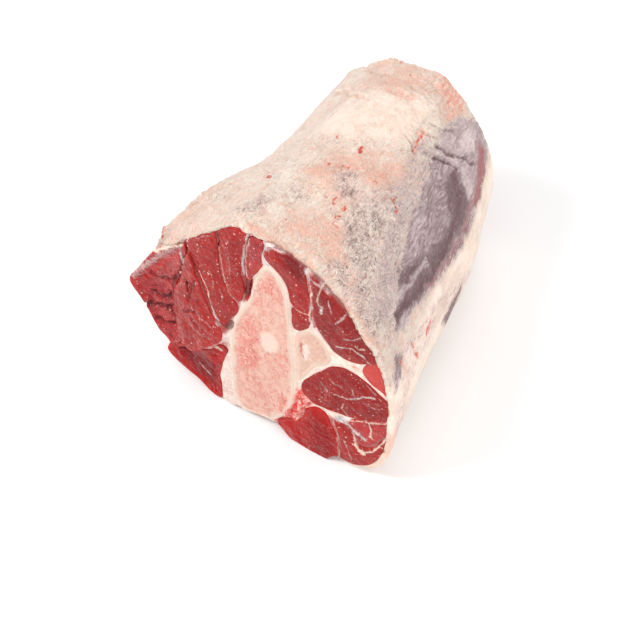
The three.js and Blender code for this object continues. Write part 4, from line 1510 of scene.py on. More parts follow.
STRANDS: tuple[Strand, ...] = (
    Strand(
        "muscle_left_tip", Cut.DARK, 3,
        ((-42, 99), (-41, 109), (-53, 102), (-67, 90), (-79, 77), (-93, 58), (-86, 37), (-75, 25),
         (-68, 20.5), (-61, 21), (-55, 27), (-53, 36), (-55, 49), (-54, 63), (-52, 75), (-46, 87)),
        marks=by_tone(Mark, {
            # painted shade in the torn folds and painted shadow under the proud edge of the inner muscle
            Tone.DARK: (
                (((-71, 72), (-66, 69.5), (-58, 73), (-52, 78.5)), 1.2, 1, 0.4),
                (((-43, 99), (-47, 87), (-54, 76), (-56.5, 69), (-55.5, 59), (-58.5, 50),
                  (-55, 43)), 1.6, 1.2, 0.6),
                (((-74, 56), (-67, 55), (-61.5, 57.5)), 1.8, 1.8, 0.7),
                (((-78, 44), (-70.5, 45.5), (-62.5, 48), (-60, 45.5)), 1.6, 1.6, 0.7),
                (((-72.5, 34.5), (-67.5, 34), (-61, 35.5)), 1.4, 1.4, 0.6),
            ),
            Tone.SILVER: (
                (((-85, 61), (-77.5, 72), (-71, 79.5), (-64.5, 86.5), (-58, 93), (-51.5, 99.5),
                  (-45, 106)), 1.8, -0.3, 0.5),
                (((-46, 100), (-44.5, 96), (-44.5, 91), (-47.5, 84)), 1.5, -0.5, 0.85),
            ),
            Tone.RIM: ((((-80, 60), (-74, 68), (-68, 75), (-62, 82), (-55, 89), (-48, 95)), 1.6, -0.6),),
        }),
        calm=((-95, 63), (-80, 66), (-66, 70), (-55, 75), (-47, 84), (-40, 98), (-38, 114), (-62, 104),
              (-98, 66)),
        dome=0.2, rough=1.5, torn=2.1, bowl=1.4, bright_rim=0.7,
    ),
    Strand(
        "muscle_left_inner", Cut.MEAT, -2,
        ((-37, 110), (-42, 99), (-45, 86), (-51, 75), (-53, 62), (-53, 49), (-51, 36), (-45, 31), (-37, 37),
         (-28, 46), (-20, 55), (-19, 63), (-25, 73), (-29, 85), (-33, 97)),
        marks=by_tone(Mark, {
            # painted shade in creases
            Tone.DARK: (
                (((-40.7, 89), (-39.8, 85), (-39.5, 81.6)), 0.7, 1.4, 0.9),
                (((-34, 93), (-37.5, 82.7), (-40, 74)), 0.8, 0.6, 0.35),
                (((-44.5, 63), (-38, 68), (-32.4, 69)), 0.9, 0.8, 0.4),
            ),
            Tone.SILVER: (
                (((-41, 56.4), (-35, 54), (-27.4, 52)), 0.31, -0.2, 0.5),
                (((-38, 70.5), (-30, 66), (-24.6, 63)), 0.31, -0.2, 0.45),
            ),
        }),
        rough=1.4, torn=0.8, bright_rim=0.6,
    ),
    Strand(
        "muscle_left_top", Cut.MEAT, -0.5,
        ((-33, 97), (-29, 85), (-25, 73), (-19, 66), (-13, 75), (-8, 84), (-10, 90), (-16, 99), (-18, 112),
         (-18, 126), (-20, 137), (-33, 127), (-39, 117)),
        marks=(
            Mark(Tone.SILVER, ((-31, 122), (-27, 126), (-22, 129)), 0.31, -0.2, 0.6),
            Mark(Tone.SILVER, ((-24, 104), (-22, 98), (-23, 94)), 0.25, -0.1, 0.6),
            Mark(Tone.SILVER, ((-19, 94), (-17, 90), (-18, 87)), 0.25, -0.1, 0.5),
        ),
    ),
    Strand(
        "muscle_top", Cut.MEAT, -0.5,
        ((-18, 138), (-18, 126), (-18, 112), (-16, 99), (-12, 91), (-7, 91), (-4, 99), (-5, 110),
         (-4.5, 121), (-2, 132), (0, 140), (-2, 147), (-11, 146)),
        marks=(Mark(Tone.SILVER, ((-12, 120), (-11, 113), (-12, 108)), 0.25, -0.1, 0.5),),
    ),
    Strand(
        "muscle_top_strip", Cut.DARK, 0.5,
        ((-0.3, 138), (-1.5, 131), (-3.3, 122), (-3.6, 115), (-4.1, 108), (-3.7, 97), (-2, 97), (-0.9, 105),
         (0.8, 110.5), (3.6, 115.6), (7.4, 122.6), (7, 126), (7, 130), (9, 135), (8, 139)),
        # painted shadow in the narrow slot beside the bone
        patches=(Patch(Tone.DARK, ((-5, 95), (-1, 95), (0.2, 108.6), (-5, 108.8)), 0.7, 0.5, 0.3),),
    ),
    Strand(
        "muscle_crown", Cut.MEAT, -0.5,
        ((11.5, 138), (8.4, 131.5), (10.6, 127.3), (15, 125), (19, 121), (21.9, 114.3), (23.2, 107),
         (27, 104), (34, 104), (34.6, 112), (33, 123), (31, 134), (25, 138), (18, 139)),
        marks=(Mark(Tone.SILVER, ((17, 138.4), (22, 138.4), (27, 137), (31.6, 133.4)), 0.7, 0.3, 0.85),),
        patches=(Patch(Tone.DARK, ((18, 137), (24, 128), (31, 122), (33, 133), (26, 140)), 4, 0.55),),
        seam=-0.1,
    ),
    Strand(
        "muscle_crown_small", Cut.MEAT, 0,
        ((27, 104), (23.6, 104), (23, 96), (24.2, 89), (29, 89), (34, 96), (34, 104)),
    ),
    Strand(
        "muscle_right_long", Cut.MEAT, -0.5,
        ((36, 132.5), (35.7, 120), (36, 107), (38, 98), (43, 91), (48, 86), (57, 84), (67, 88), (74, 94),
         (70, 103), (61, 114), (51, 123), (43, 130)),
        marks=by_tone(Mark, {
            Tone.SILVER: (
                (((40.9, 113.8), (41, 110.2)), 1.5, -0.2, 0.85),
                (((36.6, 131), (38.7, 130.6), (43.8, 127.6), (48, 123.8), (50.5, 121.6)), 0.7, 0.3, 0.9),
                (((50, 92), (54, 94), (58.4, 95), (64, 93.4), (68, 90)), 0.5, -0.3, 0.9),
                (((54, 100), (59, 101.7), (63, 105.6)), 0.37, -0.2, 0.7),
                (((49.3, 108), (52, 111.7), (54.7, 117)), 0.43, -0.2, 0.8),
                (((44.8, 120.6), (46, 117), (47, 113.7)), 0.31, -0.2, 0.7),
            ),
            Tone.FATTY: (
                (((41.3, 127.3), (39.2, 121), (38.7, 116.6), (39.7, 114)), 0.4, -0.2, 0.7),
                (((52.5, 120), (58, 114.5), (62, 111)), 0.5, 0.1, 0.7),
                (((60, 98), (62, 97), (65, 98)), 0.43, -0.2, 0.7),
            ),
        }),
        patches=(Patch(Tone.DARK, ((36, 132), (34, 106), (46, 84), (76, 94), (62, 114)), 5, 0.3),),
    ),
    Strand(
        "muscle_right_pale", Cut.PALE, 0.5,
        ((75, 94), (68, 89), (64, 81), (67, 75.5), (75, 71.5), (86, 65.5), (84, 81), (79, 90)),
        seam=-0.3, rough=0.4,
    ),
    Strand(
        "muscle_right_oval", Cut.MEAT, -0.5,
        ((30, 54), (29, 46), (35, 41), (44, 41), (57, 43), (68, 47), (77, 52), (85, 56), (85, 63), (75, 70),
         (66, 75), (57, 78), (47, 75), (38, 64)),
        marks=by_tone(Mark, {
            Tone.SILVER: (
                (((48.8, 56), (53.5, 56.7), (59.3, 58), (66, 64.7), (71.7, 66.8)), 0.43, -0.3, 0.85),
                (((58.5, 66), (59.7, 63), (61, 60)), 0.31, -0.2, 0.8),
                (((45.7, 65), (49.3, 64), (52.8, 64)), 0.31, -0.2, 0.7),
                (((66.3, 73.3), (69.8, 71), (72.7, 69.8)), 0.31, -0.2, 0.6),
                (((41, 60), (44, 58), (45, 55)), 0.31, -0.2, 0.6),
                (((66, 60), (70, 59), (75, 60)), 0.31, -0.2, 0.6),
            ),
            Tone.FATTY: ((((54.7, 52), (53, 47), (57.8, 44.3)), 0.31, -0.2, 0.7),),
        }),
        patches=(Patch(Tone.DARK, ((28, 50), (40, 38), (80, 50), (86, 60), (58, 80), (44, 76)), 5, 0.22),),
        rough=1.5,
    ),
    Strand(
        "muscle_lower_round", Cut.WET, 0,
        ((38, 39), (32, 34), (30, 27), (26, 20), (18, 16), (12, 8), (21, -7), (33, -11), (47, -9), (52, 5),
         (53, 16), (52, 23), (48, 31), (44, 38)),
        patches=(
            Patch(Tone.DARK, ((34, 31), (42, 32), (49, 24), (51, 8), (46, -2), (38, 2), (34, 14)), 6, 0.33),
        ),
        dome=0.6, torn=0.35, bright_rim=0.7,
    ),
    Strand(
        "muscle_lower_cup", Cut.MEAT, 0,
        ((49, 36), (50, 30), (53, 22), (53, 10), (54, 0), (64, 0), (77, 9), (85, 26), (82.5, 42),
         (78, 39.3), (72, 28.6), (64.7, 26.6), (59.8, 32), (56.5, 38)),
        marks=(Mark(Tone.SILVER, ((56, 24), (58, 18), (61, 12)), 0.37, -0.2, 0.7),),
        dome=0.6,
    ),
    Strand(
        "muscle_lower_core", Cut.DARK, -0.5,
        ((58, 41), (61, 35), (66, 29), (71, 31), (76, 38), (81, 48), (79, 53), (68, 47)),
        marks=by_tone(Mark, {
            Tone.FATTY: (
                (((66.6, 46.9), (69.5, 46.5), (71.4, 42.9), (71, 38), (72.8, 36)), 0.5, -0.4, 0.8),
            ),
        }),
        seam=-0.35,
    ),
    Strand(
        "muscle_left_flap", Cut.WET, 2,
        ((-74, 15), (-69, 2), (-48, -4), (-28, -8), (-25, 4), (-25, 22), (-22, 35), (-19, 46), (-24, 47),
         (-31, 39), (-41, 32), (-51, 27), (-59, 24), (-65, 20)),
        marks=(
            # painted shadow under a fold
            Mark(Tone.DARK, ((-57, 19.6), (-51.6, 22), (-47.7, 19.5)), 1.3, 1.3, 0.9),
            Mark(Tone.SILVER, ((-42, 17.7), (-38.6, 15), (-33, 15)), 0.5, -0.3, 0.6),
            Mark(Tone.FATTY, ((-31, 41), (-26, 44), (-23, 43)), 1, -0.4, 0.8),
        ),
        patches=by_tone(Patch, {
            # painted shade in the hollow of the flap
            Tone.DARK: ((((-60, 18), (-45, 8), (-29, 8), (-28, 26), (-36, 30), (-50, 24)), 5, 0.55, 1.43),),
        }),
        dome=0.3, rough=1.3, torn=1.2, bright_rim=0.9,
    ),
    Strand(
        "bone_main", Cut.BONE, -1,
        ((11.3, 124), (7.6, 121), (4.6, 115), (1.6, 105), (-0.6, 97.5), (-4.4, 89), (-10.5, 76), (-14, 53),
         (-15, 31), (-13, 12), (-6, 6), (7, 7), (16, 16), (23, 31), (25, 48), (24, 70), (22.2, 91),
         (22, 104), (20.6, 112), (17.5, 119), (14.6, 122.8)),
        marks=(Mark(Tone.BLOOD, ((3.4, 82), (4, 78)), 1, 0.1),),
        patches=by_tone(Patch, {
            Tone.BLOOD: (
                (((-7, 74), (-1, 85), (5, 84), (4, 70), (2, 60), (5, 51), (-3, 41), (-11, 42),
                  (-10, 57)), 3, 0.9),
                (((2, 100), (4, 112), (12, 121), (20, 119), (21, 107), (15, 100), (9, 106), (2, 88),
                  (-2, 90)), 4, 0.75),
                (((-10, 38), (-5, 26), (5, 19), (14, 18), (9, 34), (0, 42)), 5, 0.5),
                (((14, 36), (21, 33), (21, 22), (15, 19)), 3, 0.95),
                (((13, 72), (21, 74), (22, 60), (15, 45), (9, 50)), 5, 0.45),
            ),
            Tone.FATTY: (
                (((5.1, 75), (8, 79), (13, 78.5), (16, 75), (15.5, 69), (12.4, 64.5), (8, 63),
                  (5, 67)), 1.6, 0.8, -0.24),
            ),
        }),
        seam=-0.15, rim_radius=0.4, dome=0.2, rough=0.35, is_bone=True,
    ),
    Strand(
        "bone_small", Cut.SMALL_BONE, 0,
        ((32, 92), (26, 86), (26, 67), (27, 52), (32, 59), (37, 68), (44, 74), (46, 79), (44, 85),
         (38, 91)),
        marks=(
            Mark(Tone.DARK, ((28.8, 80.5), (28.7, 74.5), (30, 71.6)), 0.6, 0.3, 0.85),
            Mark(Tone.SILVER, ((32, 81), (32, 77), (31.4, 72)), 2.2, -0.5, 0.9),
        ),
        seam=-0.15, rim_radius=0.4, dome=0.5, rough=0.5, is_bone=True,
    ),
)

# lines that cross from one strand to the next on the wide cut
SEAM_LINES: tuple[Mark, ...] = by_tone(Mark, {
    Tone.FATTY: (
        (((-65, 90.5), (-57, 97), (-50.5, 102.5), (-43.5, 109.5)), 1.6, -0.5, 0.95),
        (((-31.6, 100.4), (-28.9, 95.9), (-26.5, 87.6), (-25.2, 77.3), (-23.1, 71)), 0.42, -0.1, 0.8),
        (((-17.7, 123), (-16.8, 115), (-16, 105.1), (-13.7, 94.6), (-9, 90)), 0.42, 0.1, 0.4),
        (((1.8, 142.5), (-0.8, 131.6), (-2.7, 121.8), (-2.8, 114), (-2.3, 111)), 0.35, -0.1, 0.6),
        (((33, 134), (34.1, 127.5), (35, 118.7), (35, 110.4), (34, 104), (34.6, 99),
          (37.4, 93.3)), 0.42, -0.1, 0.8),
        (((33.6, 104.2), (28, 103.6), (24, 105.3)), 0.45, -0.1, 0.8),
        (((60.5, 34), (62, 28), (64.5, 23.5), (68, 22.5), (73, 26.5), (77.5, 35), (81, 44),
          (84, 54)), 0.5, -0.3, 0.85),
        (((62, 27), (64.5, 22.5), (68, 21.5)), 1.1, -0.4, 0.9),
        (((48, 36), (51.5, 27), (52.4, 14), (52.6, 2)), 0.4, 0.1, 0.5),
        (((58, 41.5), (66, 45), (75, 49.5), (84, 54)), 0.4, -0.1, 0.7),
    ),
    Tone.SILVER: (
        (((-25.4, 78), (-23.1, 71), (-20.7, 67)), 0.9, 0, 0.9),
        (((0.4, 142.5), (-2.1, 131.6), (-4.2, 121.8), (-4.2, 113.9), (-3.8, 110.5)), 0.4, -0.2, 0.9),
        (((35, 112.5), (34.8, 108)), 0.8, 0.1, 0.8),
        (((10.4, 126.4), (8.3, 128.4), (7.9, 132), (10, 136), (14, 138.9), (19, 140.4)), 0.9, -0.3, 0.65),
        (((19, 140.4), (24, 139.6), (28, 136.6), (31.4, 132.6), (34, 129)), 0.7, -0.1, 0.6),
        (((34, 129), (37, 128.2), (41.3, 127.1), (46, 124)), 0.7, -0.1, 0.6),
        (((35.6, 103), (36.6, 98)), 0.8, 0, 0.6),
        (((51, 37.5), (55.5, 38), (60, 36.5), (64, 34.5), (68, 34)), 1.5, -0.3, 0.95),
    ),
    # painted shade in the groove of a seam
    Tone.DARK: ((((-18.4, 140), (-18, 133.2), (-17.7, 124)), 0.6, 1.3, 0.95),),
})

SHEATH_PATCHES: tuple[Patch, ...] = by_tone(Patch, {
    Tone.RAW: (
        (((-48, 114), (-46, 98), (-56, 76), (-57, 50), (-54, 30), (-46, 30), (-30, 42), (-23, 52),
          (-24, 58), (-17, 63), (-14, 72), (-9, 83), (-7, 90), (-10, 100), (-12, 112), (-13, 126),
          (-11, 150), (-24, 142)), 1.2, 0.95),
        (((-1, 143), (-3.5, 131), (-6.5, 121), (-6.5, 109), (-1.5, 107), (-1.2, 114), (-0.8, 121),
          (1.6, 131), (3.2, 141)), 0.5, 0.95),
        (((33, 137), (37, 134), (37, 120), (37.2, 108), (39, 98), (36, 96), (33.6, 104), (33.8, 112),
          (33, 124)), 0.6),
        (((56, 39), (60, 30), (64, 22), (71, 22), (78, 28), (88, 44), (88, 56), (76, 54),
          (70, 50)), 1.2, 0.95),
        (((45, 38), (50, 36), (55, 22), (56, -2), (49, -2), (50, 22), (44, 36)), 1, 0.9),
        (((0, 110), (-5.5, 94), (-5, 92), (-1, 94), (0, 100), (1, 108)), 1, 1, 0.8),
    ),
    Tone.FATTY: (
        (((43, 84), (47, 87), (53, 85), (60, 85), (67, 89), (66, 75), (58, 78), (50, 75), (43, 76)), 1.5),
        (((62, 88), (66, 75), (90, 62), (90, 72), (72, 78), (80, 92)), 1.5),
        (((27, 44), (44, 42), (58, 44), (56, 37), (44, 36), (34, 38), (28, 36)), 1.5, 0.8),
        (((-25, 2), (-12, 2), (-13, 30), (-12, 52), (-19, 52), (-23, 36), (-26, 22)), 3, 0.4),
    ),
    Tone.BLOOD: (
        (((11, 4), (22, 6), (29, 20), (36, 40), (33, 46), (27, 47), (24, 34), (20, 24), (12, 13)), 1.8),
        (((-40, 112), (-46, 98), (-56, 76), (-57, 50), (-54, 30), (-50, 34), (-51, 60), (-48, 78),
          (-40, 98)), 1.5, 0.9),
        (((-56, 30), (-46, 29), (-30, 42), (-20, 54), (-19, 48), (-30, 36), (-44, 26),
          (-58, 22)), 1.5, 0.8),
    ),
    # painted shade in a hollow where muscles meet
    Tone.DARK: ((((-20, 66), (-16, 64), (-10, 72), (-12, 74), (-15, 72)), 0.8, 0.8, 0.96),),
})

SHEATH_MARKS: tuple[Mark, ...] = by_tone(Mark, {
    Tone.RAW: ((((-4.4, 109.5), (-3.9, 102), (-3.6, 95)), 1.2, 0.4),),
    Tone.BLOOD: (
        (((-0.6, 108.5), (-1, 103), (-2, 95.5)), 1, 0.4, 0.9),
        (((58.2, 81.8), (59.5, 81.7)), 1.2, 0.2),
        (((19, 21), (22, 26)), 1.6, -1.3),
    ),
    # painted shadow under the fat cover's edge above the top muscles
    Tone.DARK: (
        (((1, 137), (4.6, 140), (9, 140.5)), 1, 1.6, 0.9),
        (((19.7, 141.4), (24.7, 140.7), (29.5, 137.4)), 0.9, 1.6, 0.85),
        (((36, 134.4), (41, 131), (46.4, 126)), 0.9, 1.4, 0.7),
    ),
    Tone.SILVER: ((((52, 39.3), (57.3, 40.5), (63.3, 40.5), (66.9, 38.5), (70, 36)), 1.6, -0.5),),
    Tone.FATTY: ((((24.5, 20.5), (27, 30), (31, 40)), 1.7, -1.5, 0.75),),
})

# on the cover a place is an angle in degrees and a distance along in millimetres
COVER_PATCHES: tuple[Patch, ...] = by_tone(Patch, {
    Tone.BAND: (
        (((42, 194), (54, 172), (56, 152), (53, 137), (49, 115), (47, 91), (43, 73), (38, 57), (34, 40),
          (30, 28), (25, 22), (21, 30), (20, 44), (18, 60), (15.5, 70), (12.5, 88), (9, 111), (10, 133),
          (10, 162), (20, 190)), 4, 1, 0.3),
        (((66, 135), (61, 115), (59, 91), (55, 73), (50, 57), (46, 40), (42, 24), (36, 12), (28, 16),
          (32, 40), (38, 57), (42, 91), (46, 125), (56, 140)), 5, 0.4),
        (((-10, 112), (-18, 106), (-20, 92), (-12, 82), (-11, 98)), 2, 0.9, 0.4),
        (((20, 14), (15, 20), (9, 18), (7, 4), (14, 6)), 2.5, 0.8, 0.3),
    ),
    Tone.DUSK: (
        (((52, 131), (42, 139), (30, 147), (15, 146), (10, 127), (10, 111), (11, 93), (14, 72), (17, 55),
          (25, 34), (31, 30), (33, 45), (33, 60), (33, 81), (35, 94), (44, 98), (49, 110),
          (50, 120)), 5, 0.3),
        (((40, 137), (30, 146), (16, 146), (13, 127), (14, 111), (15, 93), (17, 72), (20, 50), (25, 36),
          (32, 40), (38, 50), (34, 66), (28, 82), (25, 98), (27, 112), (34, 122), (40, 126)), 5, 0.85),
        (((-8, 114), (-22, 106), (-22, 90), (-10, 82)), 2, 0.9),
        (((20, 12), (14, 20), (9, 18), (8, 4)), 4, 0.35),
        (((65, 41), (57, 43), (57, 31), (63, 29)), 3, 0.75),
        (((61, 61), (52, 66), (51, 56), (58, 53)), 3, 0.75),
        (((75, 62), (69, 66), (68, 57), (74, 55)), 2.5, 0.7),
        (((96, 10), (93, 14), (93, 24), (96, 22)), 2.5, 0.5),
    ),
    Tone.SHEEN: (
        (((58, 190), (58, 150), (50, 138), (40, 146), (30, 152), (26, 170), (36, 190)), 7, 0.35),
        (((47, 172), (43, 180), (37, 180), (33, 171), (36, 162), (43, 161)), 2, 1, -1),
        (((36, 152), (30, 159), (21, 156), (18, 144), (25, 144), (31, 146)), 2.5, 0.75),
    ),
    Tone.MAROON: (
        (((34, 184), (25, 186), (17, 181), (11, 167), (9, 150), (15, 147), (19, 163), (26, 174)),),
    ),
    Tone.GREY: (
        (((70, 58), (65, 72), (60, 87), (53, 98), (46, 90), (42, 63), (36, 43), (28, 25), (22, 12),
          (29, 10), (39, 12), (48, 16), (56, 22), (62, 30), (67, 44)), 5, 0.85),
        (((67, 55), (64, 66), (58, 71), (54, 60), (59, 48), (64, 44)),),
        (((-17, 133), (-12, 114), (-6, 93), (-7, 77), (-8, 63), (-5, 44), (-6, 27), (-3, 13), (8, 12),
          (12, 28), (10, 46), (4, 78), (0, 101)), 5, 0.75),
        (((30, 4), (48, 4), (62, 10), (60, 18), (46, 20), (34, 14)),),
        (((0, 4), (-22, 4), (-20, 16), (-2, 28)), 5, 0.8),
        (((97, 8), (91, 14), (91, 28), (93, 32), (97, 24)), 3.5, 0.9),
        (((80, 72), (72, 74), (68, 64), (70, 56), (76, 54), (80, 64)), 4, 0.8),
        (((92, 36), (84, 30), (80, 42), (88, 48)), 3, 0.5),
    ),
    Tone.PINK: (
        (((36, 6), (54, 6), (66, 12), (60, 22), (46, 20)), 5, 0.9),
        (((-10, -2), (-45, -2), (-45, 6), (-12, 8)),),
        (((84, 8), (66, 4), (58, 18), (62, 36), (74, 36), (84, 24)), 6, 0.85),
        (((92, 56), (72, 50), (62, 76), (58, 104), (70, 106), (86, 80)), 7, 0.8),
        (((110, 190), (84, 198), (78, 176), (84, 156), (104, 156), (120, 160)), 8, 0.6),
        (((200, 0), (150, 0), (138, 24), (146, 60), (200, 90)), 8, 0.42),
        (((154, -3), (112, -3), (112, 12), (124, 26), (130, 44), (156, 56)), 7, 0.35),
    ),
    Tone.RAW: (
        (((82, 193), (75, 199), (65, 199), (56, 194), (50, 186), (53, 173), (57, 162), (63, 166),
          (70, 177)), 7),
        (((70, 92), (63, 104), (56, 94), (59, 76), (67, 80)), 5, 0.6),
        (((86, 75), (78, 77), (75, 69), (83, 65)), 3, 0.75),
        (((64, 138), (60, 138), (60, 120), (64, 122)), 2.5, 0.8),
        (((76, 34), (68, 30), (66, 12), (74, 8)), 6, 0.45),
    ),
    Tone.SMOOTH: (
        (((12, -5), (-50, -5), (-50, 205), (16, 205), (9, 160), (9, 110), (12, 80), (14, 50)), 4),
        (((104, 150), (70, 166), (62, 150), (62, 120), (70, 112), (96, 92), (112, 110)), 8, 0.8),
    ),
    Tone.FRAYED: (
        (((200, -5), (128, -5), (118, 30), (126, 66), (150, 60), (200, 70)), 8),
        (((63, 108), (69, 122), (69, 136), (64, 150), (56, 171), (42, 180), (34, 168), (47, 136)), 5, 0.55),
    ),
})

COVER_MARKS: tuple[Mark, ...] = by_tone(Mark, {
    # the band's dark core and dark blotches, and painted shade in the creases of folds
    Tone.DUSK: (
        (((36, 140), (28, 136), (22, 125), (20, 110), (20, 95), (21, 80)), 5, 0.3, 0.95),
        (((20, 112), (18, 96), (19, 80), (21, 66), (24, 52), (26, 40), (27, 30)), 3.6, 0.2),
        (((57, 128), (52, 131), (47, 138), (41, 143), (36, 147)), 1, 1.4),
        (((54, 141), (46, 147), (37, 157), (27, 166)), 1, 1.6),
        (((69, 126), (64, 124), (61, 121)), 0.7, 0.8, 0.7),
        (((69, 138), (61, 141), (56, 146)), 0.9, 0.9, 0.6),
        (((62, 152), (56, 156), (50, 166)), 0.9, 0.9, 0.6),
        (((101, 12), (97, 18), (94, 26)), 1, 0.7, 0.8),
        (((74, 63), (71, 60), (72, 55)), 0.8, 0.8, 0.9),
        (((63, 40), (59, 36), (57, 31)), 0.8, 0.8, 0.9),
        (((58, 63), (55, 60), (53, 55)), 0.8, 0.8, 0.9),
        (((66, 50), (60, 46), (55, 47)), 0.7, 0.7, 0.7),
    ),
    Tone.MAROON: ((((17, 148), (14, 138), (12, 122), (13, 101), (15, 85), (18, 68)), 2.2, 0, 0.55),),
    Tone.BLOOD: (
        (((150, 17), (151, 13)), 1.6, -1.3),
        (((63, 137), (62.5, 130), (62, 122)), 2.2, 0.3, 0.5),
        (((79, 93), (79, 88.5)), 1.3, 0.3),
        (((55, 80), (52, 76)), 1.5, 0.5, 0.8),
        (((60, 72), (57, 79), (53, 88)), 1.7, 0.5, 0.5),
        (((70, 50), (70, 41), (69, 35), (66, 34)), 1.4, 0.4, 0.6),
        (((84, 70), (81, 72), (78, 74)), 1.8, 0.4, 0.45),
        (((2.5, 63), (1, 60), (-0.5, 57.5)), 1.9, 1.1),
        (((10, 34), (4, 38), (-4, 42.5)), 1.7, 0.9, 0.75),
        (((14, 17), (9, 19), (1, 24), (-8, 26)), 1.3, 0.1, 0.45),
        (((102, 47), (101, 44)), 1.4, 0.4, 0.9),
        (((92, 96), (90, 92)), 1.4, 0.3, 0.5),
        (((88, 110), (86, 106)), 1.3, 0.3, 0.4),
        (((96, 76), (94, 80)), 1.3, 0.3, 0.4),
        (((74, 46), (72, 52)), 1.4, 0.3, 0.5),
    ),
    # pink lines along wrinkles, creases and dips, where the pink is partly painted shade
    Tone.PINK: (
        (((70, 166), (90, 172), (110, 176)), 1, 0.7, 0.5),
        (((66, 178), (86, 184), (106, 186)), 0.9, 0.6, 0.5),
        (((80, 188), (96, 192), (116, 192)), 0.9, 0.6, 0.5),
        (((134, 162), (118, 154), (102, 143), (94, 139)), 1.1, 0.8, 0.6),
        (((90, 157), (84, 158), (78, 159)), 3, 0.9, 0.9),
        (((84, 170), (77, 167), (70, 166)), 1, 0.9, 0.5),
        (((78, 174), (72, 171), (64, 168)), 1, 0.8, 0.5),
        (((118, 182), (104, 172), (94, 176)), 1.5, 0.8, 0.5),
        (((126, 192), (112, 186), (98, 190)), 1.5, 0.8, 0.4),
        (((24, 3), (45, 3), (66, 3), (90, 3)), 2, 0.2, 0.8),
        (((150, 8), (140, 16), (132, 34), (136, 50)), 1.4, 1.2, 0.6),
        (((160, 26), (150, 34), (146, 52), (150, 76)), 1.4, 1, 0.5),
    ),
    # raised fold ridges made paler, a painted highlight
    Tone.SMOOTH: (
        (((74, 160), (88, 163), (100, 160), (108, 154)), 0.9, -0.6, 0.6),
        (((134, 166), (118, 158), (103, 147), (96, 143)), 1.7, -0.8, 0.8),
    ),
    Tone.SHEEN: (
        (((58, 133), (52, 136), (46, 143), (40, 149)), 1.3, -0.9, 0.95),
        (((55, 146), (47, 152), (40, 160)), 1.2, -0.8, 0.9),
        (((62, 122), (56, 124), (50, 128)), 1.1, -0.8, 0.8),
        (((60, 158), (54, 163), (49, 172)), 1.1, -0.7, 0.8),
        (((32, 30), (31, 43), (29, 58), (26, 76)), 1.9, -0.3, 0.6),
    ),
    Tone.RAW: ((((63.5, 140), (62.5, 130), (61.5, 118)), 2.6, 0.2),),
    Tone.GREY: (
        (((14, 14), (10, 34), (6, 56), (2, 78), (-4, 100), (-12, 122)), 4.5, 0.4, 0.8),
        (((4, 14), (-2, 36), (-6, 60)), 3, 0.3, 0.5),
    ),
})

# angle in degrees, place along, reach and height in millimetres
COVER_SWELLS: tuple[tuple[float, float, float, float], ...] = (
    (106, 198, 13, 2.2),
    (141, 196, 14, 1.4),
    (72, 192, 20, 2.0),
    (-4, 130, 40, 1.0),
    (150, 20, 12, 1.2),
    (128, 40, 14, 0.9),
)


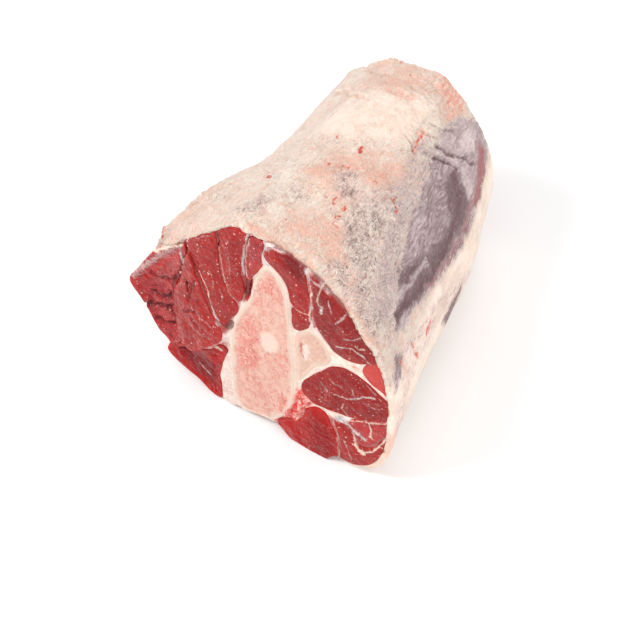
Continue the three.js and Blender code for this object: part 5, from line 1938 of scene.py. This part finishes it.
@dataclass(frozen=True)
class TornFibres:
    """Short fibres that lie on the fat where the skin was pulled off."""

    density: float = 110000.0
    length: float = 0.0048
    thickness: float = 0.00022
    seed: int = 5
    arc: tuple[Place, ...] = ((-0.5, 0.0, -0.01), (0.05, 0.32, 0.11), (0.5, -0.04, -0.01))
    arc_steps: int = 6
    sides: int = 5
    spin: tuple[float, float] = (0.3, 2.9)
    growth: tuple[float, float] = (0.45, 1.25)

    def tree(self, material: bpy.types.Material) -> bpy.types.NodeTree:
        """Builds the tree that scatters the fibres.

        Args:
            material: Finish of the fibres.

        Returns:
            The tree, with named inputs for its sizes.
        """
        tree = bpy.data.node_groups.new("torn_fibres", "GeometryNodeTree")
        sockets = (
            ("Geometry", "NodeSocketGeometry", None),
            ("Density", "NodeSocketFloat", self.density),
            ("Length", "NodeSocketFloat", self.length),
            ("Thickness", "NodeSocketFloat", self.thickness),
            ("Seed", "NodeSocketInt", self.seed),
        )
        for label, kind, value in sockets:
            socket = tree.interface.new_socket(label, in_out="INPUT", socket_type=kind)
            if value is not None:
                socket.default_value = value
        tree.interface.new_socket("Geometry", in_out="OUTPUT", socket_type="NodeSocketGeometry")
        graph = Graph(tree)
        into = graph.node("NodeGroupInput").outputs
        rough = graph.node("GeometryNodeInputNamedAttribute", {"Name": "loose"}, data_type="FLOAT")
        amount = graph.math("MULTIPLY", rough.outputs["Attribute"], into["Density"])
        inputs = {"Mesh": into["Geometry"], "Density": amount, "Seed": into["Seed"]}
        spread = graph.node("GeometryNodeDistributePointsOnFaces", inputs, distribute_method="RANDOM")
        inputs = dict(zip(("Start", "Middle", "End"), self.arc), Resolution=self.arc_steps)
        arc = graph.node("GeometryNodeCurveQuadraticBezier", inputs)
        slim = graph.math("DIVIDE", into["Thickness"], into["Length"])
        ring = graph.node("GeometryNodeCurvePrimitiveCircle", {"Resolution": self.sides, "Radius": slim})
        inputs = {"Curve": arc.outputs["Curve"], "Profile Curve": ring.outputs["Curve"], "Fill Caps": True}
        tube = graph.node("GeometryNodeCurveToMesh", inputs)
        inputs = {2: self.spin[0], 3: self.spin[1], "Seed": into["Seed"]}
        spin = graph.node("FunctionNodeRandomValue", inputs, data_type="FLOAT")
        axis = graph.node("FunctionNodeAxisAngleToRotation", {"Angle": spin.outputs[1]})
        inputs = {"Rotation": spread.outputs["Rotation"], "Rotate By": axis.outputs["Rotation"]}
        turn = graph.node("FunctionNodeRotateRotation", inputs, rotation_space="LOCAL")
        inputs = {2: self.growth[0], 3: self.growth[1]}
        grow = graph.node("FunctionNodeRandomValue", inputs, data_type="FLOAT")
        inputs = {
            "Points": spread.outputs["Points"],
            "Instance": tube.outputs["Mesh"],
            "Rotation": turn.outputs["Rotation"],
            "Scale": graph.math("MULTIPLY", grow.outputs[1], into["Length"]),
        }
        scatter = graph.node("GeometryNodeInstanceOnPoints", inputs)
        whole = graph.node("GeometryNodeRealizeInstances", {"Geometry": scatter.outputs["Instances"]})
        inputs = {"Geometry": whole.outputs["Geometry"], "Material": material}
        finish = graph.node("GeometryNodeSetMaterial", inputs)
        graph.node("NodeGroupOutput", {"Geometry": finish.outputs["Geometry"]})
        return tree

    def make(self, host: bpy.types.Object, material: bpy.types.Material) -> bpy.types.Object:
        """Scatters the fibres and turns them into one plain mesh.

        Args:
            host: Surface that they lie on.
            material: Their finish.

        Returns:
            The fibres' object.
        """
        source = linked("fibre_ground", host.data.copy())
        tree = self.tree(material)
        modifier = source.modifiers.new("fibres", "NODES")
        modifier.node_group = tree
        for item in tree.interface.items_tree:
            if item.in_out == "INPUT" and item.name != "Geometry":
                modifier[item.identifier] = getattr(self, item.name.lower())
        evaluated = source.evaluated_get(bpy.context.evaluated_depsgraph_get())
        mesh = bpy.data.meshes.new_from_object(evaluated)
        source.modifiers.remove(modifier)
        mesh.name = "torn_fibres"
        mesh.polygons.foreach_set("use_smooth", [True] * len(mesh.polygons))
        made = linked("torn_fibres", mesh)
        bpy.data.objects.remove(source)
        LOG.info("torn_fibres: %d faces", len(mesh.polygons))
        return made


@dataclass(frozen=True)
class Studio:
    """Floor, soft light and the camera at the photograph's angle."""

    azimuth: float = 32.0
    elevation: float = 47.0
    lens: float = 70.0
    distance: float = 0.7656
    target: Place = (-0.020, 0.0014, -0.0211)
    aim: Place = (0.0, 0.0, 0.06)
    sensor: float = 36.0
    clip_start: float = 0.05
    sky: float = 0.66
    floor_half: float = 6.0
    floor_height: float = -0.0002
    # name, place, side in metres and power in watts
    lamps: tuple[tuple[str, Place, float, float], ...] = (
        ("key", (-0.75, -0.85, 1.25), 0.4, 15.6),
        ("fill", (1.1, -0.5, 0.9), 1.2, 10.0),
        ("rim", (-0.1, 1.2, 1.2), 1.0, 7.0),
    )

    def floor(self) -> bpy.types.Object:
        """Makes the pale floor."""
        mesh = bpy.data.meshes.new("floor")
        signs = ((-1, -1), (1, -1), (1, 1), (-1, 1))
        ends = [(x * self.floor_half, y * self.floor_half, self.floor_height) for x, y in signs]
        mesh.from_pydata(ends, [], [(0, 1, 2, 3)])
        mesh.materials.append(FloorFinish().make())
        made = linked("floor", mesh)
        return made

    def light(self, name: str, place: Vector, size: float, power: float) -> None:
        """Adds a soft square lamp that faces the shank, its side in metres and its power in watts."""
        lamp = bpy.data.lights.new(name, "AREA")
        lamp.shape, lamp.size, lamp.energy = "SQUARE", size, power
        self.aimed(linked(name, lamp), place, Vector(self.aim) - place)

    @staticmethod
    def aimed(thing: bpy.types.Object, place: Vector, forward: Vector) -> None:
        """Puts a lamp or a camera in its place, facing forward."""
        thing.location = place
        thing.rotation_mode = "QUATERNION"
        thing.rotation_quaternion = forward.to_track_quat("-Z", "Y")

    def build(self) -> None:
        """Makes the floor, the lamps, the sky and the camera."""
        self.floor()
        for name, place, size, power in self.lamps:
            self.light(name, Vector(place), size, power)
        world = bpy.data.worlds.new("studio")
        world.use_nodes = True
        background = world.node_tree.nodes["Background"]
        background.inputs["Color"].default_value = (1, 1, 1, 1)
        background.inputs["Strength"].default_value = self.sky
        bpy.context.scene.world = world
        bpy.context.scene.view_settings.view_transform = "Standard"
        a, e = math.radians(self.azimuth), math.radians(self.elevation)
        back = Vector((math.sin(a) * math.cos(e), -math.cos(a) * math.cos(e), math.sin(e)))
        lens = bpy.data.cameras.new("camera")
        lens.lens, lens.sensor_width, lens.clip_start = self.lens, self.sensor, self.clip_start
        camera = linked("camera", lens)
        self.aimed(camera, Vector(self.target) + back * self.distance, -back)
        bpy.context.scene.camera = camera


def finishes(effects: SharedEffects) -> dict[Cut, bpy.types.Material]:
    """Materials of the strands, one for each kind of cut."""
    kinds = {
        Cut.MEAT: MeatFinish("raw_meat", specular=0.14, coat=0.03, wet=0.12, dry=0.36, relief=0.5),
        Cut.DARK: MeatFinish(
            "dark_raw_meat", wet=0.12, dry=0.34, specular=0.18, coat=0.05, relief=0.5,
            deep=(0.21, 0.010, 0.014), main=(0.43, 0.027, 0.027), light=(0.54, 0.071, 0.066),
        ),
        Cut.WET: MeatFinish(
            "wet_raw_meat", wet=0.09, dry=0.26, specular=0.12, coat=0.03, flecks_and_glints=0.3, marbling=0.1,
            deep=(0.27, 0.004, 0.004), main=(0.40, 0.006, 0.005), light=(0.47, 0.018, 0.014), relief=0.45,
        ),
        Cut.PALE: MeatFinish(
            "pale_raw_meat", marbling=0.1, flecks_and_glints=0.5, relief=0.12, specular=0.2, coat=0.03,
            deep=(0.47, 0.038, 0.030), main=(0.50, 0.044, 0.034), light=(0.56, 0.076, 0.060),
        ),
        Cut.BONE: BoneFinish("sawn_bone", wet=0.35, dry=0.6, coat=0.1, relief=0.3, depth_share=0.2),
        Cut.SMALL_BONE: BoneFinish(
            "pale_sawn_bone", wet=0.35, dry=0.6, coat=0.1, redness=0.4, core=(0.56, 0.325, 0.25),
            pale=(0.61, 0.395, 0.31), rim=(0.65, 0.475, 0.38), relief=0.2,
        ),
    }
    return {cut: finish.make(effects) for cut, finish in kinds.items()}


def loose_spots(cover: bpy.types.Object) -> None:
    """Writes on the fat cover where loose fibres lie, most of them on the mottled fat."""
    mesh = cover.data
    count = len(mesh.vertices)
    values = {}
    for tone in (Tone.BAND, Tone.SMOOTH, Tone.GREY, Tone.PINK):
        numbers = np.zeros(count, np.float32)
        mesh.attributes[tone.value].data.foreach_get("value", numbers)
        values[tone] = numbers
    places = np.zeros(count * 3, np.float32)
    mesh.vertices.foreach_get("co", places)
    places = places.reshape(-1, 3).astype(float) / MM
    patchy = ease(Grain(12.0, 91).at(places), 0.0, 0.5)
    loose = patchy * (0.25 + values[Tone.GREY] + 0.6 * values[Tone.PINK])
    loose *= (1 - values[Tone.BAND]) * (1 - values[Tone.SMOOTH])
    layer = mesh.attributes.new("loose", "FLOAT", "POINT")
    layer.data.foreach_set("value", np.clip(loose, 0, 1).astype(np.float32))


def build() -> None:
    """Builds every piece, dresses it, hangs it on the root body and hides the part of model.glb it takes
    the place of.
    """
    effects = SharedEffects()
    materials = finishes(effects)
    sheath_finish = SheathFinish("silver_skin", wet=0.22, dry=0.42, coat=0.14, depth_colour=(1, 0.5, 0.4))
    fat_finish = FatFinish(
        "fat", wet=0.36, dry=0.6, coat=0.06, relief=0.75, relief_scale=420, relief_depth=0.0012,
        depth_colour=(1, 0.6, 0.45), depth_share=0.15, depth_size=0.003, specular=0.4,
    )
    for strand in STRANDS:
        shown = strand.make().object(materials[strand.cut])
        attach(shown, "root")
        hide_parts(strand.name)
    sheath = Sheath(STRANDS, SHEATH_PATCHES, SHEATH_MARKS)
    shown = sheath.make().object(sheath_finish.make(effects))
    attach(shown, "root")
    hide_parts("fascia")
    fat = fat_finish.make(effects)
    cover = Cover(COVER_PATCHES, COVER_MARKS, COVER_SWELLS).make().object(fat)
    loose_spots(cover)
    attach(cover, "root")
    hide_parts("fat_cover")
    thread = ThreadFinish("pale_fibre", wet=0.35, dry=0.55, coat=0.1).make(effects)
    fibres = TornFibres().make(cover, thread)
    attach(fibres, "root")


def corners(bounds: tuple) -> list[list[float]]:
    """A box's two corners as plain numbers."""
    return [[float(v) for v in corner] for corner in bounds]


def main() -> None:
    """Builds the shank and its studio."""
    logging.basicConfig(level=logging.INFO, format="%(name)s: %(message)s")
    Studio().build()
    build()
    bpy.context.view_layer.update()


if __name__ == "__main__":
    main()
